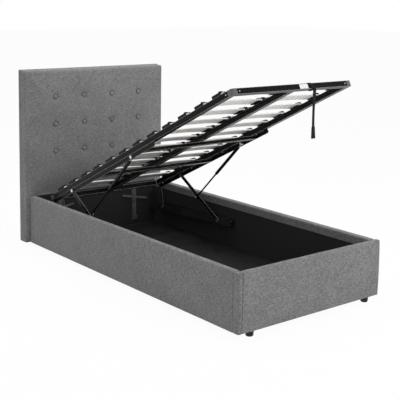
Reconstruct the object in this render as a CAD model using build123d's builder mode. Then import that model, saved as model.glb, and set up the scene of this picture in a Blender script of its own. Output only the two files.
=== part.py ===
# Ottoman storage bed for one person, with its slat frame lifted.
# Millimetres, +Z up. The origin is on the floor, under the middle of the bed.
# -Y is the foot of the bed, +Y the headboard, and X goes across it.

from build123d import *

import os
from math import atan2, cos, degrees, hypot, radians, sin

os.makedirs("parts", exist_ok=True)

# Upholstered box
mattress_width = 900
mattress_length = 1900
mattress_end_ease = 20
foot_height = 28
rail_height = 292
board_thickness = 25
cover_thickness = 8
cover_turn_in = 45
cover_edge_radius = 12
lining_thickness = 6
head_panel_thickness = 12

# Headboard
headboard_overhang = 31.5
headboard_height = 1072
headboard_thickness = 80
headboard_pad_thickness = 32
headboard_edge_radius = 20
headboard_crown = 12
headboard_crown_up = 10
headboard_crown_above_rails = 20
back_cloth_thickness = 2
button_columns = 4
button_rows = 3
button_pitch_up = 171
button_top_row_drop = 168
button_diameter = 27
button_rim = 2.5
button_dome = 4.5
button_gap = 0.2
tuft_radius = 36
tuft_depth = 9

# Floor of the box
floor_panel_thickness = 5
floor_panel_count = 3
floor_panel_joint = 2
floor_edge_gap = 1
bearer_thickness = 12
bearer_width = 60
bearer_count = 4
bearer_set_in = 23
bearer_end_margin = 150
glide_radius = 14
glide_count_across = 3
glide_from_bearer_end = 91

# Feet
foot_diameter = 42
foot_taper = 2
foot_edge_radius = 8
foot_set_in = 88

# Corner brackets and their bolts
bracket_leg = 38
bracket_plate = 3
bracket_length = 150
bracket_base_height = 90
screw_head_radius = 6
screw_head_height = 3.5
screw_shank_radius = 2.5
screw_grip = 14
screw_clearance = 0.1
bracket_screw_inset = 30

# Slotted brackets on the head panel
upright_from_rail = 186
upright_width = 34
upright_depth = 16
upright_plate = 3
upright_bottom = 64
upright_height = 212
upright_foot_height = 30
upright_foot_width = 44
slot_width = 9
slot_length = 26
slot_count = 3
slot_pitch = 44
cross_bar_length = 200
cross_bar_height = 12
cross_bar_plate = 4
cross_bar_tilt = 11
cross_bar_rise = 156
cross_bar_shift = 24

# Lift linkage, seen from the side, with the slat frame lifted
lift_angle = 26
front_pivot_from_head = 737.5
front_pivot_below_rim = 132
rear_pivot_from_head = 170.5
rear_pivot_below_rim = 160
front_arm_length = 433
front_arm_angle = 31
rear_pivot_spacing = 250
strut_pivot_spacing = 667
strut_foot_share = 0.51
pivot_drop = 42
front_pivot_from_head_tube = 274

# Slat frame
frame_end_gap = 25
frame_side_gap = 40
tube_size = 30
tube_wall = 1.5
connector_block = 32
connector_radius = 12
spigot_length = 38
spigot_clearance = 0.3
rivet_radius = 3.2
rivet_height = 1.4
rivet_slope = 25
rivet_from_end = 16
cross_tube_size = 20
front_cross_before_pivot = 781
rear_cross_before_pivot = 326
label_width = 58
label_height = 24
label_thickness = 0.5
label_centre = 62

# Slats and their holders
slat_count = 12
first_slat_from_foot = 120
last_slat_from_head = 143
slat_width = 68
slat_thickness = 8
slat_bow = 9
slat_edge_radius = 2.5
holder_length = 60
holder_low_height = 15
holder_mouth_height = 18
holder_floor = 2.5
holder_roof = 3
holder_side_overhang = 10
holder_centre_overhang = 28
holder_edge_radius = 3
holder_grip = 30
holder_slat_clearance = 0.3
holder_stop = 2
holder_tab_length = 10
holder_tab_height = 20
holder_tab_width = 22
holder_tab_set_in = 2
holder_tab_root = 1

# Lift bracket under each side of the slat frame
lift_plate = 3
lift_web_set_in = 5
lift_bracket_depth = 24
lift_bracket_before_strut = 239
lift_bracket_past_rear_pivot = 16
lift_bracket_nose = 11
lift_flange = 25
lift_flange_set_in = 34
lift_bolt_radius = 6
lift_bolt_height = 4
lift_bolt_count = 4
lift_bolt_margin = 60

# Arms, pins and base brackets, layered from the lift bracket's web outwards
layer_gap = 1
front_arm_width = 22
rear_arm_width = 16
arm_thickness = 5
base_gap = 2
base_plate = 3
base_bracket_height = 50
base_bracket_foot_overhang = 118
base_bracket_head_overhang = 62
base_bracket_nose = 15
pin_radius = 5
pin_clearance = 0.08
pin_head_radius = 9
pin_tail_radius = 8
pin_head_height = 3.5
head_gap = 0.4
base_bolt_radius = 7
base_bolt_height = 4
base_bolt_shank = 3
base_bolt_place_shares = (0.04, 0.32, 0.62, 0.94)

# Gas struts, inside the lift brackets' webs
cylinder_radius = 9.5
cylinder_bore = 7.2
cylinder_length = 278
cylinder_mouth = 14
cylinder_end_wall = 4
fitting_length = 37
fitting_radius = 5.5
eye_radius = 8.5
eye_width = 12
rod_radius = 5
rod_clearance = 0.08
piston_radius = 7
piston_length = 12
piston_from_mouth = 40
strut_to_web_gap = 1
strut_bolt_radius = 7

# Pull strap
strap_x = 128
strap_width = 25
strap_thickness = 2.2
strap_length = 250
strap_end_width = 31
strap_end_length = 78
strap_end_thickness = 4.4
strap_gap = 0.4

# One length that every through cut runs past its faces by
overrun = 5

# Places worked out from the sizes above
panel_thickness = board_thickness + 2 * cover_thickness
inner_half_width = mattress_width / 2
outer_half_width = inner_half_width + panel_thickness
lining_half_width = inner_half_width + cover_thickness - lining_thickness
board_inner_half_width = inner_half_width + cover_thickness
rail_top_z = foot_height + rail_height
lining_top_z = rail_top_z - cover_turn_in
box_length = mattress_length + mattress_end_ease
overall_length = box_length + panel_thickness + headboard_thickness
foot_face_y = -overall_length / 2
foot_inner_y = foot_face_y + panel_thickness
head_face_y = foot_inner_y + box_length
head_back_y = overall_length / 2
head_panel_y = head_face_y - head_panel_thickness
headboard_width = 2 * (outer_half_width + headboard_overhang)
headboard_top_z = foot_height + headboard_height
headboard_crown_start = rail_top_z + headboard_crown_above_rails
floor_top_z = foot_height + floor_panel_thickness
frame_half_width = inner_half_width - frame_side_gap
frame_length = box_length - 2 * frame_end_gap

# Linkage pivots as (y, z) pairs, and as distances along the slat frame
front_pivot = (head_face_y - front_pivot_from_head, rail_top_z - front_pivot_below_rim)
rear_pivot = (head_face_y - rear_pivot_from_head, rail_top_z - rear_pivot_below_rim)
front_pivot_from_foot = frame_length - front_pivot_from_head_tube
rear_pivot_from_foot = front_pivot_from_foot + rear_pivot_spacing
strut_pivot_from_foot = front_pivot_from_foot - strut_pivot_spacing
deck_run = (cos(radians(lift_angle)), -sin(radians(lift_angle)))
deck_up = (sin(radians(lift_angle)), cos(radians(lift_angle)))
front_top = (
    front_pivot[0] + front_arm_length * cos(radians(front_arm_angle)),
    front_pivot[1] + front_arm_length * sin(radians(front_arm_angle)),
)
deck_foot = (
    front_top[0] - front_pivot_from_foot * deck_run[0] + pivot_drop * deck_up[0],
    front_top[1] - front_pivot_from_foot * deck_run[1] + pivot_drop * deck_up[1],
)
rear_top = (
    front_top[0] + rear_pivot_spacing * deck_run[0],
    front_top[1] + rear_pivot_spacing * deck_run[1],
)
strut_top = (
    front_top[0] - strut_pivot_spacing * deck_run[0],
    front_top[1] - strut_pivot_spacing * deck_run[1],
)
strut_foot = (
    front_pivot[0] + strut_foot_share * (front_top[0] - front_pivot[0]),
    front_pivot[1] + strut_foot_share * (front_top[1] - front_pivot[1]),
)


def reach(start, end):
    """Length and angle of the line from one (y, z) pivot to another."""
    run = end[0] - start[0]
    rise = end[1] - start[1]
    return hypot(run, rise), degrees(atan2(rise, run))


rear_arm_length, rear_arm_angle = reach(rear_pivot, rear_top)
strut_length, strut_angle = reach(strut_top, strut_foot)
base_length, base_angle = reach(front_pivot, rear_pivot)

# Layers of the mechanism, as distances from the middle of the bed
web_outer = frame_half_width - lift_web_set_in
web_inner = web_outer - lift_plate
arm_inner = web_outer + layer_gap
arm_outer = arm_inner + arm_thickness
base_inner = arm_outer + base_gap
strut_centre = web_inner - strut_to_web_gap - cylinder_radius
strut_eye_outer = strut_centre + eye_width / 2
strut_eye_inner = strut_centre - eye_width / 2

# The slat frame's own plane: X across, Y along it to the headboard, Z out of its top
deck = Plane(origin=(0, *deck_foot), x_dir=(1, 0, 0), z_dir=(0, *deck_up))


def left_layer(outer, point, angle):
    """Plane across a left-hand layer: X along the piece, extruded towards the middle."""
    run = (0, cos(radians(angle)), sin(radians(angle)))
    return Plane(origin=(-outer, *point), x_dir=run, z_dir=(1, 0, 0))


def block(low, high, mode=Mode.ADD):
    """Box between two corners, each given as (x, y, z) in the working plane."""
    size = [b - a for a, b in zip(low, high)]
    middle = [(a + b) / 2 for a, b in zip(low, high)]
    with Locations(tuple(middle)):
        Box(*size, mode=mode)


def disc(plane, radius, height, mode=Mode.ADD):
    """Round disc or rod that stands on a plane."""
    with BuildSketch(plane) as outline:
        Circle(radius)
    extrude(outline.sketch, amount=height, mode=mode)


def keep(part, label):
    """Name a finished piece and write it."""
    part.label = label
    export_step(part, f"parts/{label}.step")


def keep_pair(part, label):
    """Write a left-hand piece and its mirrored right-hand twin."""
    with BuildPart() as twin:
        mirror(part, about=Plane.YZ)
    keep(part, f"left_{label}")
    keep(twin.part, f"right_{label}")


# Rails: a board in a padded cover that is turned over the top and down inside
rail_end = Plane(origin=(0, foot_inner_y, 0), x_dir=(-1, 0, 0), z_dir=(0, 1, 0))

with BuildPart() as left_rail_board:
    block(
        (-board_inner_half_width - board_thickness, foot_inner_y, foot_height),
        (-board_inner_half_width, head_face_y, rail_top_z - cover_thickness),
    )
keep_pair(left_rail_board.part, "rail_board")

with BuildPart() as left_rail_cover:
    with BuildSketch(rail_end):
        with BuildLine():
            Polyline(
                (outer_half_width, foot_height),
                (outer_half_width, rail_top_z),
                (inner_half_width, rail_top_z),
                (inner_half_width, lining_top_z),
                (board_inner_half_width, lining_top_z),
                (board_inner_half_width, rail_top_z - cover_thickness),
                (board_inner_half_width + board_thickness, rail_top_z - cover_thickness),
                (board_inner_half_width + board_thickness, foot_height),
                close=True,
            )
        make_face()
        fillet(vertices().group_by(Axis.Y)[-1], radius=cover_edge_radius)
    extrude(amount=box_length)
keep_pair(left_rail_cover.part, "rail_cover")

# Foot panel: the same build, full width, with the cover wrapped round both ends
foot_board_half = outer_half_width - cover_thickness
foot_board_front_y = foot_face_y + cover_thickness
foot_board_back_y = foot_inner_y - cover_thickness

with BuildPart() as foot_board:
    block(
        (-foot_board_half, foot_board_front_y, foot_height),
        (foot_board_half, foot_board_back_y, rail_top_z - cover_thickness),
    )
keep(foot_board.part, "foot_board")

with BuildPart() as foot_board_cover:
    block(
        (-outer_half_width, foot_face_y, foot_height),
        (outer_half_width, foot_inner_y, rail_top_z),
    )
    long_top_edges = edges().filter_by(Axis.X).group_by(Axis.Z)[-1]
    front_corner_edges = edges().filter_by(Axis.Z).group_by(Axis.Y)[0]
    fillet(long_top_edges + front_corner_edges, radius=cover_edge_radius)
    block(
        (-foot_board_half, foot_board_front_y, foot_height),
        (foot_board_half, foot_board_back_y, rail_top_z - cover_thickness),
        mode=Mode.SUBTRACT,
    )
    block(
        (-inner_half_width, foot_board_back_y, foot_height),
        (inner_half_width, foot_inner_y, lining_top_z),
        mode=Mode.SUBTRACT,
    )
keep(foot_board_cover.part, "foot_board_cover")

# Black linings of the box, and the panel that closes it at the head
with BuildPart() as left_lining:
    block(
        (-board_inner_half_width, foot_inner_y, foot_height),
        (-lining_half_width, head_face_y, lining_top_z),
    )
keep_pair(left_lining.part, "lining")

with BuildPart() as foot_lining:
    block(
        (-inner_half_width, foot_board_back_y, foot_height),
        (inner_half_width, foot_inner_y, lining_top_z),
    )
keep(foot_lining.part, "foot_lining")

with BuildPart() as head_panel:
    block(
        (-inner_half_width, head_panel_y, foot_height),
        (inner_half_width, head_face_y, rail_top_z),
    )
keep(head_panel.part, "head_panel")

# Headboard: a core in a crowned, tufted pad that wraps its edges
headboard_half = headboard_width / 2
core_half = headboard_half - cover_thickness
core_front_y = head_face_y + headboard_pad_thickness
core_back_y = head_back_y - back_cloth_thickness
core_low = (-core_half, core_front_y, foot_height + cover_thickness)
core_high = (core_half, core_back_y, headboard_top_z - cover_thickness)

with BuildPart() as headboard_core:
    block(core_low, core_high)
keep(headboard_core.part, "headboard_core")

button_top_z = headboard_top_z - button_top_row_drop
button_pitch_across = headboard_width / (button_columns + 1)
crown_mid_z = (headboard_crown_start + headboard_top_z) / 2


def bulge(place, half_span, rise):
    """How far an arc that spans twice half_span still stands proud at a place from its middle."""
    radius = (half_span**2 + rise**2) / (2 * rise)
    return (radius**2 - place**2) ** 0.5 - (radius - rise)


def pad_front(x, z):
    """Y of the pad's front face at a place: the shallower of its two crowns."""
    across = bulge(x, headboard_half, headboard_crown)
    half_height = (headboard_top_z - headboard_crown_start) / 2
    upward = bulge(z - crown_mid_z, half_height, headboard_crown_up)
    return head_face_y - min(across, upward)


tuft_places = []
for row in range(button_rows):
    for column in range(button_columns):
        x = (column - (button_columns - 1) / 2) * button_pitch_across
        z = button_top_z - row * button_pitch_up
        tuft_places.append((x, pad_front(x, z), z))

tuft_sphere_radius = (tuft_radius**2 + tuft_depth**2) / (2 * tuft_depth)

with BuildPart() as headboard_pad:
    with BuildSketch(Plane(origin=(-headboard_half, 0, 0), x_dir=(0, 1, 0), z_dir=(1, 0, 0))):
        with BuildLine():
            Polyline(
                (head_face_y, headboard_crown_start),
                (head_face_y, foot_height),
                (head_back_y, foot_height),
                (head_back_y, headboard_top_z),
                (head_face_y, headboard_top_z),
            )
            ThreePointArc(
                (head_face_y, headboard_top_z),
                (head_face_y - headboard_crown_up, crown_mid_z),
                (head_face_y, headboard_crown_start),
            )
        make_face()
        top_front = vertices().sort_by(Axis.Y)[-2:].sort_by(Axis.X)[0]
        fillet(top_front, radius=headboard_edge_radius)
    extrude(amount=headboard_width)
    with BuildSketch(Plane.XY.offset(foot_height)):
        with BuildLine():
            Polyline(
                (-headboard_half, head_face_y),
                (-headboard_half, head_back_y),
                (headboard_half, head_back_y),
                (headboard_half, head_face_y),
            )
            ThreePointArc(
                (headboard_half, head_face_y),
                (0, head_face_y - headboard_crown),
                (-headboard_half, head_face_y),
            )
        make_face()
        fillet(vertices().group_by(Axis.Y)[0], radius=headboard_edge_radius)
    extrude(amount=headboard_height, mode=Mode.INTERSECT)
    block(
        core_low,
        (core_half, head_back_y + overrun, headboard_top_z - cover_thickness),
        mode=Mode.SUBTRACT,
    )
    with Locations(*[(x, y + tuft_depth - tuft_sphere_radius, z) for x, y, z in tuft_places]):
        Sphere(tuft_sphere_radius, rotation=(90, 0, 0), mode=Mode.SUBTRACT)
keep(headboard_pad.part, "headboard_pad")

with BuildPart() as headboard_back_cloth:
    block(
        (-core_half, core_back_y, foot_height + cover_thickness),
        (core_half, head_back_y, headboard_top_z - cover_thickness),
    )
keep(headboard_back_cloth.part, "headboard_back_cloth")

button_half = button_diameter / 2
button_back = tuft_sphere_radius - (tuft_sphere_radius**2 - button_half**2) ** 0.5
button_edge = button_back + button_rim

with BuildPart() as headboard_button:
    with BuildSketch(Plane.XY):
        with BuildLine():
            Line((button_half, -button_back), (button_half, -button_edge))
            ThreePointArc(
                (button_half, -button_edge),
                (button_half / 2, -button_edge - bulge(button_half / 2, button_half, button_dome)),
                (0, -button_edge - button_dome),
            )
            Line((0, -button_edge - button_dome), (0, 0))
            ThreePointArc(
                (0, 0),
                (button_half / 2, bulge(button_half / 2, button_half, button_back) - button_back),
                (button_half, -button_back),
            )
        make_face()
    revolve(axis=Axis.Y)

with BuildPart() as headboard_buttons:
    with Locations(*[(x, y + tuft_depth - button_gap, z) for x, y, z in tuft_places]):
        add(headboard_button.part)
keep(headboard_buttons.part, "headboard_buttons")

# Floor: three panels on bearers that are screwed up under the rails
floor_half = lining_half_width - floor_edge_gap
floor_start_y = foot_inner_y + floor_edge_gap
floor_end_y = head_panel_y - floor_edge_gap
panel_run = (floor_end_y - floor_start_y + floor_panel_joint) / floor_panel_count

with BuildPart() as floor_panels:
    for index in range(floor_panel_count):
        start = floor_start_y + index * panel_run
        block(
            (-floor_half, start, foot_height),
            (floor_half, start + panel_run - floor_panel_joint, floor_top_z),
        )
keep(floor_panels.part, "floor_panels")

bearer_half = outer_half_width - bearer_set_in
bearer_run = (box_length - 2 * bearer_end_margin) / (bearer_count - 1)
bearer_places = [foot_inner_y + bearer_end_margin + i * bearer_run for i in range(bearer_count)]

with BuildPart() as floor_bearers:
    for y in bearer_places:
        block(
            (-bearer_half, y - bearer_width / 2, foot_height - bearer_thickness),
            (bearer_half, y + bearer_width / 2, foot_height),
        )
keep(floor_bearers.part, "floor_bearers")

glide_height = foot_height - bearer_thickness
glide_pitch = 2 * (bearer_half - glide_from_bearer_end) / (glide_count_across - 1)
box_middle_y = foot_inner_y + box_length / 2

with BuildPart() as floor_glides:
    with Locations((0, box_middle_y, glide_height / 2)):
        with GridLocations(glide_pitch, bearer_run, glide_count_across, bearer_count):
            Cylinder(glide_radius, glide_height)
keep(floor_glides.part, "floor_glides")

# Feet under the foot board and the headboard
foot_radius = foot_diameter / 2
foot_board_middle_y = (foot_board_front_y + foot_board_back_y) / 2
head_foot_y = core_front_y
foot_side_x = outer_half_width - foot_set_in

for label, y in (("foot", foot_board_middle_y), ("head_foot", head_foot_y)):
    with BuildPart(Plane(origin=(-foot_side_x, y, 0))) as left_foot:
        with Locations((0, 0, foot_height / 2)):
            Cone(foot_radius - foot_taper, foot_radius, foot_height)
        fillet(left_foot.edges().group_by(Axis.Z)[0], radius=foot_edge_radius)
    keep_pair(left_foot.part, label)


# Screws: a head on a face, and a shank that goes into what is behind it
def screw(seat, grip=screw_grip, head=screw_head_radius, height=screw_head_height):
    """Screw whose head sits on the seat plane and whose shank goes the way of its Z."""
    disc(seat, screw_shank_radius, grip)
    disc(seat, head, -height)


def screw_holes(seats, plate):
    """Clearance holes through a plate that is as thick as given, behind each seat."""
    for seat in seats:
        hole_radius = screw_shank_radius + screw_clearance
        disc(seat.offset(-overrun), hole_radius, plate + 2 * overrun, mode=Mode.SUBTRACT)


# Angle brackets in the four corners of the box
corner_ends = ((foot_inner_y, 1), (head_panel_y, -1))
bracket_top = bracket_base_height + bracket_length
screw_heights = (bracket_base_height + bracket_screw_inset, bracket_top - bracket_screw_inset)
leg_middle = (bracket_plate + bracket_leg) / 2

corner_seats = []
for side in (-1, 1):
    for end_y, inward in corner_ends:
        for z in screw_heights:
            wall = (side * (lining_half_width - bracket_plate), end_y + inward * leg_middle, z)
            corner_seats.append(Plane(origin=wall, z_dir=(side, 0, 0)))
            end = (side * (lining_half_width - leg_middle), end_y + inward * bracket_plate, z)
            corner_seats.append(Plane(origin=end, z_dir=(0, -inward, 0)))

with BuildPart() as corner_brackets:
    for side in (-1, 1):
        for end_y, inward in corner_ends:
            with BuildSketch(Plane.XY.offset(bracket_base_height)):
                with BuildLine():
                    Polyline(
                        (side * lining_half_width, end_y),
                        (side * (lining_half_width - bracket_leg), end_y),
                        (side * (lining_half_width - bracket_leg), end_y + inward * bracket_plate),
                        (side * (lining_half_width - bracket_plate), end_y + inward * bracket_plate),
                        (side * (lining_half_width - bracket_plate), end_y + inward * bracket_leg),
                        (side * lining_half_width, end_y + inward * bracket_leg),
                        close=True,
                    )
                make_face()
            extrude(amount=bracket_length)
    screw_holes(corner_seats, bracket_plate)
keep(corner_brackets.part, "corner_brackets")

with BuildPart() as corner_bolts:
    for seat in corner_seats:
        screw(seat)
keep(corner_bolts.part, "corner_bolts")

# Slotted uprights on the head panel, each with a slanting bar across it
upright_offset = inner_half_width - upright_from_rail
upright_face_y = head_panel_y - upright_depth
upright_front = Plane(origin=(0, head_panel_y, 0), x_dir=(1, 0, 0), z_dir=(0, -1, 0))
upright_top = upright_bottom + upright_height

with BuildPart() as right_head_bracket:
    block(
        (upright_offset, head_panel_y - upright_plate, upright_bottom),
        (upright_offset + upright_width, head_panel_y, upright_top),
    )
    block(
        (upright_offset, upright_face_y, upright_bottom),
        (upright_offset + upright_plate, head_panel_y, upright_top),
    )
    block(
        (upright_offset, head_panel_y - upright_plate, upright_bottom),
        (upright_offset + upright_foot_width, head_panel_y, upright_bottom + upright_foot_height),
    )
    slot_middle_x = upright_offset + (upright_plate + upright_width) / 2
    slot_middle_z = (upright_bottom + upright_foot_height + upright_top) / 2
    with BuildSketch(upright_front):
        with Locations((slot_middle_x, slot_middle_z)):
            with GridLocations(0, slot_pitch, 1, slot_count):
                SlotOverall(slot_length, slot_width, rotation=90)
    extrude(amount=upright_plate, mode=Mode.SUBTRACT)

cross_plane = Plane(
    origin=(
        upright_offset + cross_bar_shift,
        head_panel_y - upright_plate,
        upright_bottom + cross_bar_rise,
    ),
    x_dir=(cos(radians(cross_bar_tilt)), 0, -sin(radians(cross_bar_tilt))),
    z_dir=(0, -1, 0),
)

with BuildPart() as right_cross_bar:
    with BuildSketch(cross_plane):
        SlotOverall(cross_bar_length, cross_bar_height)
    extrude(amount=cross_bar_plate)
    block(
        (upright_offset, upright_face_y - overrun, upright_bottom),
        (upright_offset + upright_plate, head_panel_y, upright_top),
        mode=Mode.SUBTRACT,
    )

with BuildPart() as head_brackets:
    add(right_head_bracket.part)
    add(right_cross_bar.part)
    mirror(about=Plane.YZ)
keep(head_brackets.part, "head_brackets")

# Base brackets: a channel on each rail that carries the two arm pivots
base_axis = left_layer(lining_half_width, front_pivot, base_angle)
base_run = base_length + base_bracket_foot_overhang + base_bracket_head_overhang
base_middle = (base_length + base_bracket_head_overhang - base_bracket_foot_overhang) / 2
base_depth = lining_half_width - base_inner
base_floor = base_axis.offset(base_plate)
base_bolt_places = [
    (share * base_run - base_bracket_foot_overhang, 0) for share in base_bolt_place_shares
]
pivot_hole = pin_radius + pin_clearance

with BuildPart() as left_base_bracket:
    with BuildSketch(base_axis):
        with Locations((base_middle, 0)):
            RectangleRounded(base_run, base_bracket_height, base_bracket_nose)
    extrude(amount=base_depth)
    with BuildSketch(base_axis.offset(base_plate)):
        with Locations((base_middle, base_plate)):
            Rectangle(base_run + overrun, base_bracket_height)
    extrude(amount=base_depth - 2 * base_plate, mode=Mode.SUBTRACT)
    with BuildSketch(base_axis.offset(base_depth - base_plate - overrun)):
        with Locations((0, 0), (base_length, 0)):
            Circle(pivot_hole)
    extrude(amount=base_plate + 2 * overrun, mode=Mode.SUBTRACT)
    with BuildSketch(base_axis):
        with Locations(*base_bolt_places):
            Circle(base_bolt_shank + screw_clearance)
    extrude(amount=base_plate, mode=Mode.SUBTRACT)
keep_pair(left_base_bracket.part, "base_bracket")

with BuildPart() as left_base_bolts:
    with BuildSketch(base_floor):
        with Locations(*base_bolt_places):
            RegularPolygon(base_bolt_radius, 6)
    extrude(amount=base_bolt_height)
    with BuildSketch(base_floor):
        with Locations(*base_bolt_places):
            Circle(base_bolt_shank)
    extrude(amount=-screw_grip)

with BuildPart() as base_bracket_bolts:
    add(left_base_bolts.part)
    mirror(about=Plane.YZ)
keep(base_bracket_bolts.part, "base_bracket_bolts")


def pivot_pin(point, inner, outer):
    """Pin through the layers between two distances from the middle, headed at both ends."""
    disc(left_layer(outer, point, 0), pin_radius, outer - inner)
    disc(left_layer(outer, point, 0), pin_head_radius, -pin_head_height)
    disc(left_layer(inner, point, 0), pin_tail_radius, pin_head_height)


with BuildPart() as left_base_pins:
    for point in (front_pivot, rear_pivot):
        pivot_pin(point, arm_inner - head_gap, base_inner + base_plate)

with BuildPart() as base_pivot_pins:
    add(left_base_pins.part)
    mirror(about=Plane.YZ)
keep(base_pivot_pins.part, "base_pivot_pins")

# Arms: flat bars with rounded ends and a hole at each pivot
with BuildPart() as left_front_arm:
    with BuildSketch(left_layer(arm_outer, front_pivot, front_arm_angle)):
        with Locations((front_arm_length / 2, 0)):
            SlotCenterToCenter(front_arm_length, front_arm_width)
        with Locations((0, 0), (front_arm_length, 0)):
            Circle(pivot_hole, mode=Mode.SUBTRACT)
    extrude(amount=arm_thickness)
keep_pair(left_front_arm.part, "front_arm")

with BuildPart() as left_rear_arm:
    with BuildSketch(left_layer(arm_outer, rear_pivot, rear_arm_angle)):
        with Locations((rear_arm_length / 2, 0)):
            SlotCenterToCenter(rear_arm_length, rear_arm_width)
        Circle(pivot_hole, mode=Mode.SUBTRACT)
    extrude(amount=arm_thickness)
    disc(left_layer(arm_outer, rear_top, 0), pin_head_radius, -pin_head_height)
keep_pair(left_rear_arm.part, "rear_arm")

# Gas struts, drawn from the top pivot down to the pivot on the front arm
strut_axis = Plane(
    origin=(-strut_centre, *strut_top),
    x_dir=(1, 0, 0),
    z_dir=(0, cos(radians(strut_angle)), sin(radians(strut_angle))),
)
cylinder_end = fitting_length + cylinder_length
rod_start = cylinder_end - piston_from_mouth - piston_length

with BuildPart(strut_axis) as left_strut_cylinder:
    with Locations((0, 0, fitting_length)):
        Cylinder(
            cylinder_radius,
            cylinder_length,
            align=(Align.CENTER, Align.CENTER, Align.MIN),
        )
    with Locations((0, 0, fitting_length + cylinder_end_wall)):
        Cylinder(
            cylinder_bore,
            cylinder_length - cylinder_end_wall - cylinder_mouth,
            align=(Align.CENTER, Align.CENTER, Align.MIN),
            mode=Mode.SUBTRACT,
        )
    with Locations((0, 0, cylinder_end - cylinder_mouth)):
        Cylinder(
            rod_radius + rod_clearance,
            cylinder_mouth,
            align=(Align.CENTER, Align.CENTER, Align.MIN),
            mode=Mode.SUBTRACT,
        )
keep_pair(left_strut_cylinder.part, "strut_cylinder")

with BuildPart(strut_axis) as left_strut_fitting:
    Cylinder(fitting_radius, fitting_length, align=(Align.CENTER, Align.CENTER, Align.MIN))
    disc(left_layer(strut_eye_outer, strut_top, 0), eye_radius, eye_width)
    disc(
        left_layer(strut_eye_outer + overrun, strut_top, 0),
        pivot_hole,
        eye_width + 2 * overrun,
        mode=Mode.SUBTRACT,
    )
keep_pair(left_strut_fitting.part, "strut_fitting")

with BuildPart(strut_axis) as left_strut_rod:
    with Locations((0, 0, rod_start)):
        Cylinder(
            rod_radius,
            strut_length - rod_start,
            align=(Align.CENTER, Align.CENTER, Align.MIN),
        )
        Cylinder(
            piston_radius,
            piston_length,
            align=(Align.CENTER, Align.CENTER, Align.MIN),
        )
    with Locations((0, 0, strut_length - fitting_length)):
        Cylinder(
            fitting_radius,
            fitting_length,
            align=(Align.CENTER, Align.CENTER, Align.MIN),
        )
    strut_foot_face = left_layer(strut_eye_outer, strut_foot, 0)
    disc(strut_foot_face, eye_radius, eye_width)
    disc(left_layer(strut_eye_inner, strut_foot, 0), strut_bolt_radius, pin_head_height)
    disc(strut_foot_face, pin_radius, strut_eye_outer + head_gap - arm_inner)
keep_pair(left_strut_rod.part, "strut_rod")

# Slat frame: square tubes between corner connectors whose spigots go inside them
tube_inner = frame_half_width - tube_size


def square_tube(low, high, along):
    """Hollow square tube between two corners, open at its ends along one axis."""
    block(low, high)
    hole_low = [a + tube_wall for a in low]
    hole_high = [b - tube_wall for b in high]
    hole_low[along] = low[along] - overrun
    hole_high[along] = high[along] + overrun
    block(hole_low, hole_high, mode=Mode.SUBTRACT)


with BuildPart(deck) as left_side_tube:
    square_tube(
        (-frame_half_width, connector_block, -tube_size),
        (-tube_inner, frame_length - connector_block, 0),
        along=1,
    )
keep_pair(left_side_tube.part, "side_tube")

end_tube_half = frame_half_width - connector_block

with BuildPart(deck) as foot_tube:
    square_tube(
        (-end_tube_half, 0, -tube_size),
        (end_tube_half, tube_size, 0),
        along=0,
    )
keep(foot_tube.part, "foot_tube")

with BuildPart(deck) as head_tube:
    square_tube(
        (-end_tube_half, frame_length - tube_size, -tube_size),
        (end_tube_half, frame_length, 0),
        along=0,
    )
keep(head_tube.part, "head_tube")

with BuildPart(deck) as centre_tube:
    square_tube(
        (-tube_size / 2, tube_size, -tube_size),
        (tube_size / 2, frame_length - tube_size, 0),
        along=1,
    )
keep(centre_tube.part, "centre_tube")

spigot_inset = tube_wall + spigot_clearance

with BuildPart(deck) as left_foot_connector:
    with BuildSketch(deck):
        with BuildLine():
            Polyline(
                (-frame_half_width, 0),
                (-frame_half_width, connector_block),
                (-tube_inner, connector_block),
                (-tube_inner, tube_size),
                (-end_tube_half, tube_size),
                (-end_tube_half, 0),
                close=True,
            )
        make_face()
        fillet(vertices().group_by(Axis.X)[0].sort_by(Axis.Y)[0], radius=connector_radius)
    extrude(amount=-tube_size)
    block(
        (-end_tube_half - overrun, spigot_inset, spigot_inset - tube_size),
        (-end_tube_half + spigot_length, tube_size - spigot_inset, -spigot_inset),
    )
    block(
        (spigot_inset - frame_half_width, connector_block - overrun, spigot_inset - tube_size),
        (-tube_inner - spigot_inset, connector_block + spigot_length, -spigot_inset),
    )

deck_middle = Plane(
    origin=deck.from_local_coords((0, frame_length / 2, 0)),
    x_dir=(1, 0, 0),
    z_dir=(0, *deck_run),
)

with BuildPart() as foot_connectors:
    add(left_foot_connector.part)
    mirror(about=Plane.YZ)

with BuildPart() as corner_connectors:
    add(foot_connectors.part)
    mirror(foot_connectors.part, about=deck_middle)
keep(corner_connectors.part, "corner_connectors")


def rivet(place, direction):
    """Low domed rivet head on the slat frame, at a place in its own plane."""
    with BuildSketch(Plane(origin=place, z_dir=direction)) as outline:
        Circle(rivet_radius)
    extrude(outline.sketch, amount=rivet_height, taper=rivet_slope)


rivet_x = end_tube_half - rivet_from_end
rivet_u = connector_block + rivet_from_end

with BuildPart() as foot_rivets:
    for side in (-1, 1):
        rivet(deck.from_local_coords((side * rivet_x, 0, -tube_size / 2)), -deck.y_dir)
        rivet(
            deck.from_local_coords((side * frame_half_width, rivet_u, -tube_size / 2)),
            (side, 0, 0),
        )

with BuildPart() as corner_rivets:
    add(foot_rivets.part)
    mirror(foot_rivets.part, about=deck_middle)
keep(corner_rivets.part, "corner_rivets")

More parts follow.
